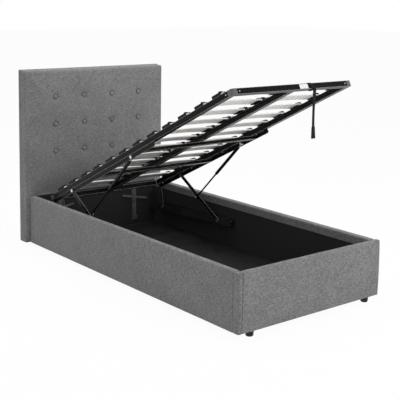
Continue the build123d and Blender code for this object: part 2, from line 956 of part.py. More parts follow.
# Lift brackets: an angle whose flange is bolted up under each side tube
lift_bracket_start = strut_pivot_from_foot - lift_bracket_before_strut
lift_bracket_end = rear_pivot_from_foot + lift_bracket_past_rear_pivot
lift_flange_start = lift_bracket_start + lift_flange_set_in
lift_flange_end = lift_bracket_end - lift_bracket_nose
lift_bolt_grip = lift_plate + tube_wall + lift_bolt_height
lift_bolt_x = (frame_half_width + tube_inner) / 2
lift_bolt_run = (lift_flange_end - lift_flange_start - 2 * lift_bolt_margin) / (lift_bolt_count - 1)
lift_bolt_seats = []
for index in range(lift_bolt_count):
    u = lift_flange_start + lift_bolt_margin + index * lift_bolt_run
    under_flange = deck.from_local_coords((-lift_bolt_x, u, -tube_size - lift_plate))
    lift_bolt_seats.append(Plane(origin=under_flange, z_dir=deck.z_dir))

with BuildPart(deck) as left_lift_bracket:
    with BuildSketch(left_layer(web_outer, deck_foot, -lift_angle)):
        with Locations((lift_bracket_start, -tube_size - lift_bracket_depth)):
            RectangleRounded(
                lift_bracket_end - lift_bracket_start,
                lift_bracket_depth,
                lift_bracket_nose,
                align=(Align.MIN, Align.MIN),
            )
        with Locations((front_pivot_from_foot, -pivot_drop), (strut_pivot_from_foot, -pivot_drop)):
            Circle(pivot_hole, mode=Mode.SUBTRACT)
    extrude(amount=lift_plate)
    block(
        (-web_outer, lift_flange_start, -tube_size - lift_plate),
        (lift_flange - web_outer, lift_flange_end, -tube_size),
    )
    screw_holes(lift_bolt_seats, lift_plate)
keep_pair(left_lift_bracket.part, "lift_bracket")

with BuildPart() as left_lift_bolts:
    for seat in lift_bolt_seats:
        screw(seat, lift_bolt_grip, lift_bolt_radius, lift_bolt_height)

with BuildPart() as lift_bracket_bolts:
    add(left_lift_bolts.part)
    mirror(about=Plane.YZ)
keep(lift_bracket_bolts.part, "lift_bracket_bolts")

# Cross bars under the side tubes, between the lift brackets
for label, before_pivot in (
    ("front_cross_bar", front_cross_before_pivot),
    ("rear_cross_bar", rear_cross_before_pivot),
):
    place = front_pivot_from_foot - before_pivot
    with BuildPart(deck) as cross_bar:
        square_tube(
            (
                -web_inner,
                place - cross_tube_size / 2,
                -tube_size - lift_plate - cross_tube_size,
            ),
            (
                web_inner,
                place + cross_tube_size / 2,
                -tube_size - lift_plate,
            ),
            along=0,
        )
    keep(cross_bar.part, label)

# Pins on the lift brackets: front arm, strut, and the short inner stud of the rear arm
with BuildPart() as left_upper_pins:
    pivot_pin(front_top, web_inner, arm_outer + head_gap)
    pivot_pin(strut_top, strut_eye_inner - head_gap, web_outer)
    strut_collar = web_inner - strut_eye_outer - head_gap
    disc(left_layer(web_inner, strut_top, 0), pin_tail_radius, strut_collar)
    disc(left_layer(web_inner, rear_top, 0), pin_tail_radius, pin_head_height)

with BuildPart() as upper_pivot_pins:
    add(left_upper_pins.part)
    mirror(about=Plane.YZ)
keep(upper_pivot_pins.part, "upper_pivot_pins")

# Slat holders: a clip on the tube that grips the end of a bowed slat, which is a
# little wider than the clip and shows at both its ends
slat_pitch = (frame_length - first_slat_from_foot - last_slat_from_head) / (slat_count - 1)
slat_places = [first_slat_from_foot + index * slat_pitch for index in range(slat_count)]
side_holder_inner = tube_inner - holder_side_overhang
side_slat_end = side_holder_inner + holder_grip
centre_holder_half = tube_size / 2 + holder_centre_overhang
centre_slat_end = centre_holder_half - holder_grip
pocket_back_height = holder_floor + slat_thickness + holder_slat_clearance
pocket_mouth_height = holder_mouth_height - holder_roof


def across_deck(place):
    """Plane across the slat frame at a place: X across it, Y out of its top."""
    return Plane(
        origin=deck.from_local_coords((0, place, 0)),
        x_dir=(1, 0, 0),
        z_dir=(0, -deck_run[0], -deck_run[1]),
    )


def clip_half(back, mouth):
    """Points of a clip's outline from the foot of its back to the foot of its mouth."""
    toward = 1 if mouth > back else -1
    pocket_back = mouth - toward * (holder_grip + holder_stop)
    return [
        (back, holder_low_height),
        (mouth, holder_mouth_height),
        (mouth, pocket_mouth_height),
        (pocket_back, pocket_back_height),
        (pocket_back, holder_floor),
        (mouth, holder_floor),
        (mouth, 0),
    ]


def clip_seat(distance, depth):
    """Height just under a clip's sloping top, at a distance from its back."""
    rise = (holder_mouth_height - holder_low_height) * distance / depth
    return holder_low_height + rise - holder_tab_root


def holder_tab(seat, place):
    """Raised bar on the foot end of a clip, on a seat of points along its top."""
    with BuildSketch(across_deck(place).offset(holder_length / 2 - holder_tab_length)) as outline:
        with BuildLine():
            Polyline(
                *seat,
                (seat[-1][0], holder_tab_height),
                (seat[0][0], holder_tab_height),
                close=True,
            )
        make_face()
    extrude(outline.sketch, amount=holder_tab_length)


side_holder_depth = frame_half_width - side_holder_inner
side_tab_low = holder_tab_set_in + holder_edge_radius
side_tab_high = holder_tab_set_in + holder_tab_width
side_tab_seat = [
    (distance - frame_half_width, clip_seat(distance, side_holder_depth))
    for distance in (side_tab_low, side_tab_high)
]
centre_tab_seat = [
    (side * holder_tab_width / 2, clip_seat(abs(side) * holder_tab_width / 2, centre_holder_half))
    for side in (-1, 0, 1)
]

with BuildPart() as left_slat_holders:
    for place in slat_places:
        with BuildSketch(across_deck(place)):
            with BuildLine():
                Polyline(
                    (-frame_half_width, 0),
                    *clip_half(-frame_half_width, -side_holder_inner),
                    close=True,
                )
            make_face()
            back_edge = vertices().group_by(Axis.X)[0].sort_by(Axis.Z)[-1]
            fillet(back_edge, radius=holder_edge_radius)
        extrude(amount=holder_length / 2, both=True)
        holder_tab(side_tab_seat, place)
keep_pair(left_slat_holders.part, "slat_holders")

with BuildPart() as centre_slat_holders:
    for place in slat_places:
        right_half = clip_half(0, centre_holder_half)
        left_half = [(-x, n) for x, n in reversed(right_half[1:])]
        with BuildSketch(across_deck(place)):
            with BuildLine():
                Polyline(*left_half, *right_half, close=True)
            make_face()
        extrude(amount=holder_length / 2, both=True)
        holder_tab(centre_tab_seat, place)
keep(centre_slat_holders.part, "centre_slat_holders")

# Slats: sprung strips, bowed upwards between the side and the centre holders
with BuildPart() as left_slats:
    for place in slat_places:
        low = holder_floor
        high = holder_floor + slat_thickness
        middle = -(side_slat_end + centre_slat_end) / 2
        with BuildSketch(across_deck(place)):
            with BuildLine():
                ThreePointArc(
                    (-side_slat_end, low), (middle, low + slat_bow), (-centre_slat_end, low)
                )
                Line((-centre_slat_end, low), (-centre_slat_end, high))
                ThreePointArc(
                    (-centre_slat_end, high), (middle, high + slat_bow), (-side_slat_end, high)
                )
                Line((-side_slat_end, high), (-side_slat_end, low))
            make_face()
        extrude(amount=slat_width / 2, both=True)
    fillet(left_slats.edges().filter_by(GeomType.CIRCLE), radius=slat_edge_radius)
keep_pair(left_slats.part, "slats")

# Blank label on the front of the foot bar
with BuildPart(deck) as frame_label:
    block(
        (label_centre - label_width / 2, -label_thickness, -(tube_size + label_height) / 2),
        (label_centre + label_width / 2, 0, -(tube_size - label_height) / 2),
    )
keep(frame_label.part, "frame_label")

# Pull strap: a loop round the foot bar, and a tail that hangs from its lower front edge
loop_inner = strap_gap
loop_outer = strap_gap + strap_thickness

with BuildPart(deck) as strap_loop:
    block(
        (strap_x - strap_width / 2, -loop_outer, -tube_size - loop_outer),
        (strap_x + strap_width / 2, tube_size + loop_outer, loop_outer),
    )
    block(
        (strap_x - strap_width / 2 - overrun, -loop_inner, -tube_size - loop_inner),
        (strap_x + strap_width / 2 + overrun, tube_size + loop_inner, loop_inner),
        mode=Mode.SUBTRACT,
    )
keep(strap_loop.part, "strap_loop")

tail_half = strap_thickness / 2
strap_pivot = deck.from_local_coords(
    (strap_x, tail_half - loop_outer, -tube_size - loop_outer - strap_gap - tail_half)
)
strap_side = Plane(origin=strap_pivot, x_dir=(0, 1, 0), z_dir=(1, 0, 0))

with BuildPart() as pull_strap:
    with BuildSketch(strap_side):
        Circle(tail_half)
        Rectangle(strap_thickness, strap_length, align=(Align.CENTER, Align.MAX))
    extrude(amount=strap_width / 2, both=True)
    with BuildSketch(strap_side):
        with Locations((0, -strap_length)):
            Rectangle(
                strap_end_thickness,
                strap_end_length,
                align=(Align.CENTER, Align.MIN),
            )
    extrude(amount=strap_end_width / 2, both=True)
keep(pull_strap.part, "pull_strap")
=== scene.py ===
# %% [markdown]
# # A single ottoman storage bed, dressed in Blender
# The bed is an upholstered box with a buttoned headboard. Its slat frame is lifted on
# two arms a side and held up by gas struts, so the black storage space shows. The CAD
# model is the fixed frame: every piece made here sits on it, in metres, and rides on
# one of its bodies, so that the whole dressed bed can still be opened and closed.

from math import atan2, cos, exp, hypot, pi, radians, sin, tanh

import bmesh
import bpy
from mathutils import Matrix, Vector, noise


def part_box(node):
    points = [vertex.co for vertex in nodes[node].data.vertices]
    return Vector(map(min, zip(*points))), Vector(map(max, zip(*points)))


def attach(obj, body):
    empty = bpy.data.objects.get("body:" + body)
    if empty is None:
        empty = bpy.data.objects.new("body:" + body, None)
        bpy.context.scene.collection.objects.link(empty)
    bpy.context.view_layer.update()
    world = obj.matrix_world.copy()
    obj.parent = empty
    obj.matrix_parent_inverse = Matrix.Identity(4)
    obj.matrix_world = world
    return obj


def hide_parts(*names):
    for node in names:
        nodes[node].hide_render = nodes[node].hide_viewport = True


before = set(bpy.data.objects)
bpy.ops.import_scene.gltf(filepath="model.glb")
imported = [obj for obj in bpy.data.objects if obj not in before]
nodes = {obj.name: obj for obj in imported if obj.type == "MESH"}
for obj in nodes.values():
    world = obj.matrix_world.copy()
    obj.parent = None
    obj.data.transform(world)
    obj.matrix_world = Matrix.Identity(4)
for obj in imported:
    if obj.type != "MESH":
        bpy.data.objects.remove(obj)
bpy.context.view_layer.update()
bpy.ops.object.select_all(action="DESELECT")
scene = bpy.context.scene

# %% [markdown]
# ## The camera
# The photograph was taken a little above the bed, from the foot end and to the left.
# Its upright edges stay nearly upright although the camera looks down, which a lens
# shift does. Only part of that shift is used here, because it moves the bed in every
# other view too; the small rest is taken up by turning the camera.

# %% Camera
CAMERA_PLACE = (-3.1771, -4.0230, 1.5817)
CAMERA_TURN = (82.125, -0.888, -38.973)
CAMERA_LENS = 82.2
CAMERA_SHIFT_DOWN = 0.2

camera_data = bpy.data.cameras.new("camera")
camera_data.lens = CAMERA_LENS
camera_data.shift_y = -CAMERA_SHIFT_DOWN
camera = bpy.data.objects.new("camera", camera_data)
camera.location = CAMERA_PLACE
camera.rotation_euler = [radians(a) for a in CAMERA_TURN]
scene.collection.objects.link(camera)
scene.camera = camera
print("camera", CAMERA_PLACE, "lens", CAMERA_LENS)

# %% [markdown]
# ## Light, floor and backdrop
# A packshot like this is lit by large soft lamps, so there are no hard shadows. The
# foot end is the brightest side and the long side is a shade darker, so the strongest
# lamp stands in front of the foot. The backdrop is white only for the camera and for
# reflections: the light that the bed itself gets is weaker and stays even.

# %% Studio
SKY_LEVEL = 0.44
FLOOR_SIZE = 60
FLOOR_PAINT = (0.9, 0.9, 0.9, 1)
FLOOR_ROUGHNESS = 0.9
FLOOR_WHITE_SHARE = 0.955
WHITE = (1, 1, 1, 1)
# Each lamp's name, place, target, width in metres and watts
LAMPS = (("foot_lamp", (1.6, -4.6, 1.9), (0, -0.4, 0.4), 2.6, 96),
         ("top_lamp", (0.2, 0.2, 4.2), (0, 0, 0.3), 3.0, 92),
         ("side_lamp", (-4.4, -0.6, 2.2), (0, 0, 0.5), 2.6, 26))


def add_lamp(name, place, target, size, watts):
    """Large square lamp towards a target; gloss shows the even backdrop instead of it."""
    data = bpy.data.lights.new(name, "AREA")
    data.size = size
    data.energy = watts
    lamp = bpy.data.objects.new(name, data)
    lamp.location = place
    aim = Vector(target) - Vector(place)
    lamp.rotation_euler = aim.to_track_quat("-Z", "Y").to_euler()
    lamp.visible_glossy = False
    scene.collection.objects.link(lamp)
    return lamp


for lamp_values in LAMPS:
    add_lamp(*lamp_values)


def link(tree, start, end):
    """Join two sockets of a node tree."""
    tree.links.new(start, end)


def seen_share(tree):
    """1 for rays from the camera, from gloss and through glass, else 0."""
    path = tree.nodes.new("ShaderNodeLightPath")
    total = path.outputs["Is Camera Ray"]
    for kind in ("Is Glossy Ray", "Is Transmission Ray"):
        either = tree.nodes.new("ShaderNodeMath")
        either.operation = "MAXIMUM"
        link(tree, total, either.inputs[0])
        link(tree, path.outputs[kind], either.inputs[1])
        total = either.outputs[0]
    return total


scene.view_settings.view_transform = "Standard"
world = bpy.data.worlds.new("studio")
world.use_nodes = True
scene.world = world
tree = world.node_tree
sky = tree.nodes["Background"]
sky.inputs["Color"].default_value = WHITE
level = tree.nodes.new("ShaderNodeMapRange")
level.inputs["To Min"].default_value = SKY_LEVEL
level.inputs["To Max"].default_value = 1
link(tree, seen_share(tree), level.inputs["Value"])
link(tree, level.outputs["Result"], sky.inputs["Strength"])

bpy.ops.mesh.primitive_plane_add(size=FLOOR_SIZE, location=(0, 0, 0))
floor = bpy.context.object
floor.name = "studio_floor"
floor_paint = bpy.data.materials.new("studio_floor")
floor_paint.use_nodes = True
tree = floor_paint.node_tree
tree.nodes["Principled BSDF"].inputs["Base Color"].default_value = FLOOR_PAINT
tree.nodes["Principled BSDF"].inputs["Roughness"].default_value = FLOOR_ROUGHNESS
glow = tree.nodes.new("ShaderNodeEmission")
glow.inputs["Color"].default_value = WHITE
share = tree.nodes.new("ShaderNodeMath")
share.operation = "MULTIPLY"
share.inputs[1].default_value = FLOOR_WHITE_SHARE
mix = tree.nodes.new("ShaderNodeMixShader")
link(tree, seen_share(tree), share.inputs[0])
link(tree, share.outputs[0], mix.inputs["Fac"])
link(tree, tree.nodes["Principled BSDF"].outputs[0], mix.inputs[1])
link(tree, glow.outputs[0], mix.inputs[2])
link(tree, mix.outputs[0], tree.nodes["Material Output"].inputs["Surface"])
floor.data.materials.append(floor_paint)
print("studio ready")

# %% [markdown]
# ## Helpers for finishes
# Every finish is made of nodes that read the object's own coordinates, so it has the
# same scale on each piece and stays put when the bed moves. Two small helpers add a
# node and join it up in one line, which keeps each recipe short enough to read.

# %% Finish helpers
def new_finish(name, **values):
    """Material whose shader sockets are set; the words of a socket are joined by _."""
    made = bpy.data.materials.new(name)
    made.use_nodes = True
    shader = made.node_tree.nodes["Principled BSDF"]
    for socket in shader.inputs:
        key = socket.name.lower().replace(" ", "_")
        if key in values:
            socket.default_value = values.pop(key)
    if values:
        raise ValueError(f"{name}: no socket for {sorted(values)}")
    return made


def add_node(finish, kind, inputs=None, **settings):
    """Node of a kind; inputs maps a socket's name or number to a value or a socket."""
    made = finish.node_tree.nodes.new("ShaderNode" + kind)
    for name, value in settings.items():
        setattr(made, name, value)
    for socket, value in (inputs or {}).items():
        if isinstance(value, bpy.types.NodeSocket):
            finish.node_tree.links.new(value, made.inputs[socket])
        else:
            made.inputs[socket].default_value = value
    return made.outputs


def place_of(finish, stretch=(1, 1, 1), turn=(0, 0, 0)):
    """Object coordinates in metres, stretched for a pattern that is longer one way."""
    here = add_node(finish, "TexCoord")["Object"]
    values = {"Vector": here, "Scale": stretch, "Rotation": turn}
    return add_node(finish, "Mapping", values)["Vector"]


def grain(finish, stretch, detail=2.0, roughness=0.5):
    """Noise from 0 to 1 with that many cells a metre each way."""
    values = {"Vector": place_of(finish, stretch), "Scale": 1, "Detail": detail,
              "Roughness": roughness}
    return add_node(finish, "TexNoise", values)[0]


def spread(finish, value, low, high, to_low=0.0, to_high=1.0):
    """A value's range, stretched to another."""
    values = {0: value, 1: low, 2: high, 3: to_low, 4: to_high}
    return add_node(finish, "MapRange", values)[0]


def calculate(finish, operation, first, second):
    """One sum on two values."""
    return add_node(finish, "Math", {0: first, 1: second}, operation=operation)[0]


def blend_colours(finish, share, first, second, how="MIX"):
    """Two colours mixed by a share; either may be a socket."""
    values = {0: share, 6: first, 7: second}
    return add_node(finish, "Mix", values, data_type="RGBA", blend_type=how)[2]


def drive(finish, socket, value):
    """Join a value to one of the shader's sockets."""
    shader = finish.node_tree.nodes["Principled BSDF"]
    finish.node_tree.links.new(value, shader.inputs[socket])


def emboss(finish, height, strength, depth):
    """Raise the surface by a height pattern, depth in metres."""
    values = {"Strength": strength, "Distance": depth, "Height": height}
    drive(finish, "Normal", add_node(finish, "Bump", values)["Normal"])


print("finish helpers ready")

# %% [markdown]
# ## Upholstery cloth
# The cover is a plain-woven grey cloth like linen: thick and thin threads cross, so
# the grey is mottled and short pale and dark slubs run both ways. Stretched noise
# gives the slubs, one set long and level and one set upright, with a large soft
# mottle below them. Finer threads only raise the surface. Sheen gives the pale fuzz.

# %% Upholstery
def weave_cloth(name, base, dark, pale):
    """Mottled woven cloth in three close greys."""
    cloth = new_finish(name, roughness=0.92, sheen_weight=0.25, sheen_roughness=0.55,
                       specular_ior_level=0.15)
    level_slubs = grain(cloth, (55, 55, 320), 2.0, 0.6)
    upright_slubs = grain(cloth, (330, 330, 62), 2.0, 0.6)
    mottle = grain(cloth, (185, 185, 185), 3.0, 0.6)
    broad = grain(cloth, (7, 7, 7), 3.0)
    slubs = calculate(cloth, "ADD", calculate(cloth, "MULTIPLY", level_slubs, 1.25),
                      calculate(cloth, "MULTIPLY", upright_slubs, 0.75))
    slub_share = spread(cloth, slubs, 0.80, 1.20)
    colour = blend_colours(cloth, slub_share, dark, pale)
    mottle_share = spread(cloth, mottle, 0.34, 0.66, 0.0, 0.75)
    colour = blend_colours(cloth, mottle_share, colour, base)
    tint = blend_colours(cloth, spread(cloth, broad, 0.35, 0.65), (0.93, 0.93, 0.93, 1),
                         (1.06, 1.06, 1.06, 1))
    colour = blend_colours(cloth, 1.0, colour, tint, "MULTIPLY")
    drive(cloth, "Base Color", colour)
    warp = grain(cloth, (150, 150, 1500), 2.0)
    weft = grain(cloth, (1300, 1300, 160), 2.0)
    threads = calculate(cloth, "ADD", warp, weft)
    height = calculate(cloth, "ADD", threads, calculate(cloth, "MULTIPLY", slubs, 1.2))
    emboss(cloth, height, 0.45, 0.0012)
    return cloth


upholstery = weave_cloth("upholstery", (0.175, 0.175, 0.176, 1), (0.075, 0.075, 0.076, 1),
                         (0.295, 0.295, 0.296, 1))
# The headboard is covered in the same cloth as the base. This copy has less contrast, and its greys
# are painted a shade lighter for the brighter light that falls on the headboard.
headboard_cloth = weave_cloth("headboard_cloth", (0.184, 0.184, 0.185, 1), (0.100, 0.100, 0.101, 1),
                              (0.275, 0.275, 0.276, 1))
print("upholstery ready")

# %% [markdown]
# ## Black cloth, board and floor
# The inside of the box is lined in matt black fibre cloth over board, and the back of
# the headboard is closed by the same thin cloth. The board below is only seen from
# under the bed. The floor panels are hardboard with a black leathery print.

# %% Dark boards and cloths
def felt_cloth(name, colour, pale, cells):
    """Matt pressed fibre: fine speckle and short crossing fibres."""
    felt = new_finish(name, roughness=0.88, sheen_weight=0.12, specular_ior_level=0.2)
    fibres = grain(felt, (cells, cells * 0.25, cells), 3.0, 0.7)
    crossing = grain(felt, (cells * 0.3, cells, cells * 0.3), 3.0, 0.7)
    both = calculate(felt, "ADD", fibres, crossing)
    drive(felt, "Base Color", blend_colours(felt, spread(felt, both, 0.75, 1.25), colour, pale))
    emboss(felt, both, 0.35, 0.0006)
    return felt


lining_cloth = felt_cloth("lining_cloth", (0.010, 0.010, 0.0105, 1), (0.028, 0.028, 0.029, 1), 500)
back_cloth = felt_cloth("back_cloth", (0.010, 0.010, 0.011, 1), (0.035, 0.035, 0.036, 1), 380)

chipboard = new_finish("chipboard", roughness=0.8)
flakes = add_node(chipboard, "TexVoronoi", {"Vector": place_of(chipboard, (1, 1, 1)), "Scale": 220})
drive(chipboard, "Base Color", blend_colours(
    chipboard, add_node(chipboard, "SeparateColor", {0: flakes["Color"]})[0],
    (0.20, 0.12, 0.06, 1), (0.42, 0.29, 0.17, 1)))
emboss(chipboard, flakes["Distance"], 0.2, 0.0006)

hardboard = new_finish("hardboard_black", roughness=0.62, specular_ior_level=0.22)
pores = add_node(hardboard, "TexVoronoi", {"Vector": place_of(hardboard), "Scale": 420})
cloudy = grain(hardboard, (14, 14, 14), 4.0, 0.6)
drive(hardboard, "Base Color", blend_colours(
    hardboard, spread(hardboard, cloudy, 0.3, 0.7), (0.008, 0.008, 0.0085, 1),
    (0.020, 0.020, 0.021, 1)))
drive(hardboard, "Roughness", spread(hardboard, cloudy, 0.3, 0.7, 0.5, 0.72))
emboss(hardboard, pores["Distance"], 0.25, 0.0004)
print("dark boards ready")

# %% [markdown]
# ## Metals and plastics
# The slat frame is powder-coated black steel: satin, with the faint orange-peel ripple
# that powder leaves. Struts are glossy lacquer with a black rod. The brackets on the
# rails are duller, so they hardly show against the lining. Fasteners are bright zinc,
# and the corner connectors and holders are moulded plastic.

# %% Metals and plastics
def coated_metal(name, colour, pale, roughness, ripple=260, **more):
    """Powder-coated or plated metal: fine ripple and slightly uneven gloss."""
    metal = new_finish(name, **more)
    cloud = grain(metal, (18, 18, 18), 3.0, 0.6)
    peel = grain(metal, (ripple, ripple, ripple), 2.0, 0.5)
    drive(metal, "Base Color", blend_colours(metal, spread(metal, cloud, 0.3, 0.7), colour, pale))
    drive(metal, "Roughness", spread(metal, cloud, 0.3, 0.7, roughness - 0.06, roughness + 0.06))
    emboss(metal, peel, 0.12, 0.0004)
    return metal


def paint_edge_highlights(finish, pale, width):
    """Painted highlights on edges: a paler colour where a rounded normal turns away from the flat
    one.
    """
    rounded = add_node(finish, "Bevel", {"Radius": width}, samples=4)["Normal"]
    flat = add_node(finish, "NewGeometry")["Normal"]
    alike = add_node(finish, "VectorMath", {0: rounded, 1: flat}, operation="DOT_PRODUCT")["Value"]
    edge = spread(finish, alike, 0.98, 0.86)
    shader = finish.node_tree.nodes["Principled BSDF"]
    colour = shader.inputs["Base Color"].links[0].from_socket
    drive(finish, "Base Color", blend_colours(finish, edge, colour, pale))


black_steel = coated_metal("black_steel", (0.003, 0.003, 0.003, 1), (0.006, 0.006, 0.006, 1),
                           0.26, specular_ior_level=0.08)
# Painted highlight: a pale line along the steel's edges, where light would catch them.
paint_edge_highlights(black_steel, (0.34, 0.34, 0.34, 1), 0.0038)
base_steel = coated_metal("base_steel", (0.018, 0.018, 0.018, 1), (0.032, 0.032, 0.032, 1),
                          0.45, specular_ior_level=0.12)
bracket_steel = coated_metal("bracket_steel", (0.075, 0.075, 0.077, 1), (0.15, 0.15, 0.155, 1),
                             0.40, 90)
# Painted highlight: a pale line along the brackets' edges, where light would catch them.
paint_edge_highlights(bracket_steel, (0.30, 0.30, 0.30, 1), 0.0020)
zinc = coated_metal("zinc", (0.68, 0.68, 0.69, 1), (0.84, 0.84, 0.85, 1), 0.32, 400, metallic=1.0)
lacquer = coated_metal("strut_lacquer", (0.003, 0.003, 0.003, 1), (0.006, 0.006, 0.006, 1), 0.24,
                       120, specular_ior_level=0.16)
fitting_metal = coated_metal("fitting_metal", (0.36, 0.36, 0.36, 1), (0.52, 0.52, 0.53, 1), 0.30,
                             300, metallic=1.0)
connector_plastic = coated_metal("connector_plastic", (0.085, 0.085, 0.088, 1),
                                 (0.12, 0.12, 0.125, 1), 0.45, 700)
holder_plastic = coated_metal("holder_plastic", (0.005, 0.005, 0.005, 1), (0.010, 0.010, 0.010, 1),
                              0.5, 900, specular_ior_level=0.12)
foot_plastic = coated_metal("foot_plastic", (0.004, 0.004, 0.004, 1), (0.008, 0.008, 0.008, 1),
                            0.34, 700, specular_ior_level=0.3)
bearer_paint = coated_metal("bearer_paint", (0.012, 0.012, 0.012, 1), (0.022, 0.022, 0.022, 1),
                            0.60, 150)

rod_metal = new_finish("rod_metal", specular_ior_level=0.02)
scratches = grain(rod_metal, (1400, 60, 60), 2.0)
drive(rod_metal, "Base Color", blend_colours(rod_metal, scratches, (0.003, 0.003, 0.003, 1),
                                             (0.007, 0.007, 0.007, 1)))
drive(rod_metal, "Roughness", spread(rod_metal, scratches, 0.3, 0.7, 0.2, 0.34))
emboss(rod_metal, scratches, 0.05, 0.0002)
print("metals and plastics ready")

# %% [markdown]
# ## Slats, label and webbing
# The slats are pressed from thin layers of pale birch and lacquered, so the grain runs
# along each slat and the edges show the layers as fine lines. The label is blank
# matt paper. The strap is black webbing with a rib for each crossing thread.

# %% Slats, label and webbing
birch = new_finish("slat_birch", roughness=0.38, coat_weight=0.15, coat_roughness=0.3)
grain_lines = grain(birch, (5, 160, 160), 4.0, 0.65)
pore_lines = grain(birch, (22, 900, 900), 2.0, 0.5)
board_tone = grain(birch, (1.2, 7.0, 7.0), 1.0)
birch_colour = blend_colours(birch, spread(birch, grain_lines, 0.35, 0.65),
                             (0.86, 0.84, 0.80, 1), (0.94, 0.93, 0.91, 1))
birch_colour = blend_colours(birch, spread(birch, pore_lines, 0.60, 0.72, 0.0, 0.35),
                             birch_colour, (0.68, 0.63, 0.56, 1))
birch_colour = blend_colours(birch, spread(birch, board_tone, 0.3, 0.7, 0.0, 0.4),
                             birch_colour, (0.88, 0.85, 0.79, 1))
drive(birch, "Base Color", birch_colour)
drive(birch, "Roughness", spread(birch, grain_lines, 0.3, 0.7, 0.34, 0.46))
emboss(birch, calculate(birch, "ADD", grain_lines, pore_lines), 0.12, 0.0004)

label_paper = new_finish("label_paper", roughness=0.6)
paper_fibre = grain(label_paper, (900, 900, 900), 3.0)
drive(label_paper, "Base Color", blend_colours(label_paper, paper_fibre, (0.72, 0.72, 0.71, 1),
                                               (0.86, 0.86, 0.85, 1)))
emboss(label_paper, paper_fibre, 0.1, 0.0002)


def band_webbing(name, along):
    """Ribbed black webbing; along gives how its ribs repeat each way, in ribs a metre."""
    band = new_finish(name, roughness=0.7, sheen_weight=0.02, specular_ior_level=0.12)
    ribs = add_node(band, "TexWave", {"Vector": place_of(band, along), "Scale": 1,
                                      "Distortion": 0.4, "Detail": 1.0},
                    wave_type="BANDS", bands_direction="Z", wave_profile="SIN")[1]
    threads = grain(band, (900, 900, 900), 2.0)
    both = calculate(band, "ADD", ribs, threads)
    drive(band, "Base Color", blend_colours(band, spread(band, both, 0.4, 1.6),
                                            (0.003, 0.003, 0.003, 1), (0.016, 0.016, 0.016, 1)))
    emboss(band, both, 0.5, 0.0006)
    return band


webbing = band_webbing("webbing", (150, 150, 150))
print("slat wood, label and webbing ready")

# %% [markdown]
# ## Finishes on the rigid CAD nodes
# The tubes, boards, arms, brackets, slats and bolts have their right shape in the CAD
# model, so they stay as they are and only get a detailed finish. One table says which
# finish belongs to which node.

# %% Finishes on CAD nodes
FINISH_OF_NODES = {
    chipboard: ["headboard_core", "left_rail_board", "right_rail_board", "foot_board"],
    lining_cloth: ["left_lining", "right_lining", "foot_lining", "head_panel"],
    hardboard: ["floor_panels"],
    bearer_paint: ["floor_bearers"],
    foot_plastic: ["floor_glides", "left_foot", "right_foot", "left_head_foot", "right_head_foot"],
    bracket_steel: ["head_brackets"],
    zinc: ["base_bracket_bolts", "lift_bracket_bolts", "corner_rivets",
           "base_pivot_pins", "upper_pivot_pins"],
    base_steel: ["corner_brackets", "corner_bolts", "left_base_bracket", "right_base_bracket"],
    black_steel: ["left_side_tube", "right_side_tube", "foot_tube", "head_tube", "centre_tube",
                  "front_cross_bar", "rear_cross_bar", "left_lift_bracket", "right_lift_bracket",
                  "left_front_arm", "right_front_arm", "left_rear_arm", "right_rear_arm"],
    connector_plastic: ["corner_connectors"],
    holder_plastic: ["left_slat_holders", "right_slat_holders", "centre_slat_holders"],
    birch: ["left_slats", "right_slats"],
    lacquer: ["left_strut_cylinder", "right_strut_cylinder"],
    fitting_metal: ["left_strut_fitting", "right_strut_fitting"],
    rod_metal: ["left_strut_rod", "right_strut_rod"],
    label_paper: ["frame_label"],
    webbing: ["pull_strap", "strap_loop"],
    upholstery: ["left_rail_cover", "right_rail_cover", "foot_board_cover"],
    headboard_cloth: ["headboard_pad", "headboard_buttons"],
    back_cloth: ["headboard_back_cloth"],
}
for finish, names in FINISH_OF_NODES.items():
    for name in names:
        nodes[name].data.materials.clear()
        nodes[name].data.materials.append(finish)
print(sum(len(names) for names in FINISH_OF_NODES.values()), "of", len(nodes), "nodes finished")

# %% [markdown]
# ## Helpers for modelling
# Pieces are modelled as by hand: a cube or another primitive is put in its place, then
# faces are picked and extruded, edges are bevelled and the mesh is sliced so that it
# can bend. The helpers below only save typing.

# %% Modelling helpers
MM = 0.001


def start_cube(name, low, high):
    """Cube between two corners in millimetres, left in edit mode with all selected."""
    bpy.ops.object.select_all(action="DESELECT")
    middle = [(a + b) / 2 * MM for a, b in zip(low, high)]
    size = [(b - a) * MM for a, b in zip(low, high)]
    bpy.ops.mesh.primitive_cube_add(size=1, location=middle, scale=size)
    piece = bpy.context.object
    piece.name = piece.data.name = name
    bpy.ops.object.transform_apply(location=True, rotation=True, scale=True)
    bpy.ops.object.mode_set(mode="EDIT")
    return piece


def pick(piece, kind, test):
    """Select in edit mode what passes a test on its middle and its direction."""
    bpy.ops.mesh.select_mode(type=kind)
    bpy.ops.mesh.select_all(action="DESELECT")
    shape = bmesh.from_edit_mesh(piece.data)
    if kind == "FACE":
        shape.normal_update()
        for face in shape.faces:
            face.select_set(bool(test(face.calc_center_median() / MM, face.normal)))
    elif kind == "EDGE":
        for edge in shape.edges:
            a, b = (v.co / MM for v in edge.verts)
            edge.select_set(bool(test((a + b) / 2, (b - a).normalized())))
    else:
        for vert in shape.verts:
            vert.select_set(bool(test(vert.co / MM)))
    shape.select_flush_mode()
    bmesh.update_edit_mesh(piece.data)


def push(offset):
    """Extrude what is selected by an offset in millimetres."""
    move = [v * MM for v in offset]
    bpy.ops.mesh.extrude_region_move(TRANSFORM_OT_translate={"value": move})


def slice_at(axis, places):
    """Cut the whole mesh straight across an axis at places in millimetres."""
    direction = [float(i == "XYZ".index(axis)) for i in range(3)]
    for place in places:
        bpy.ops.mesh.select_all(action="SELECT")
        point = [v * place * MM for v in direction]
        bpy.ops.mesh.bisect(plane_co=point, plane_no=direction)


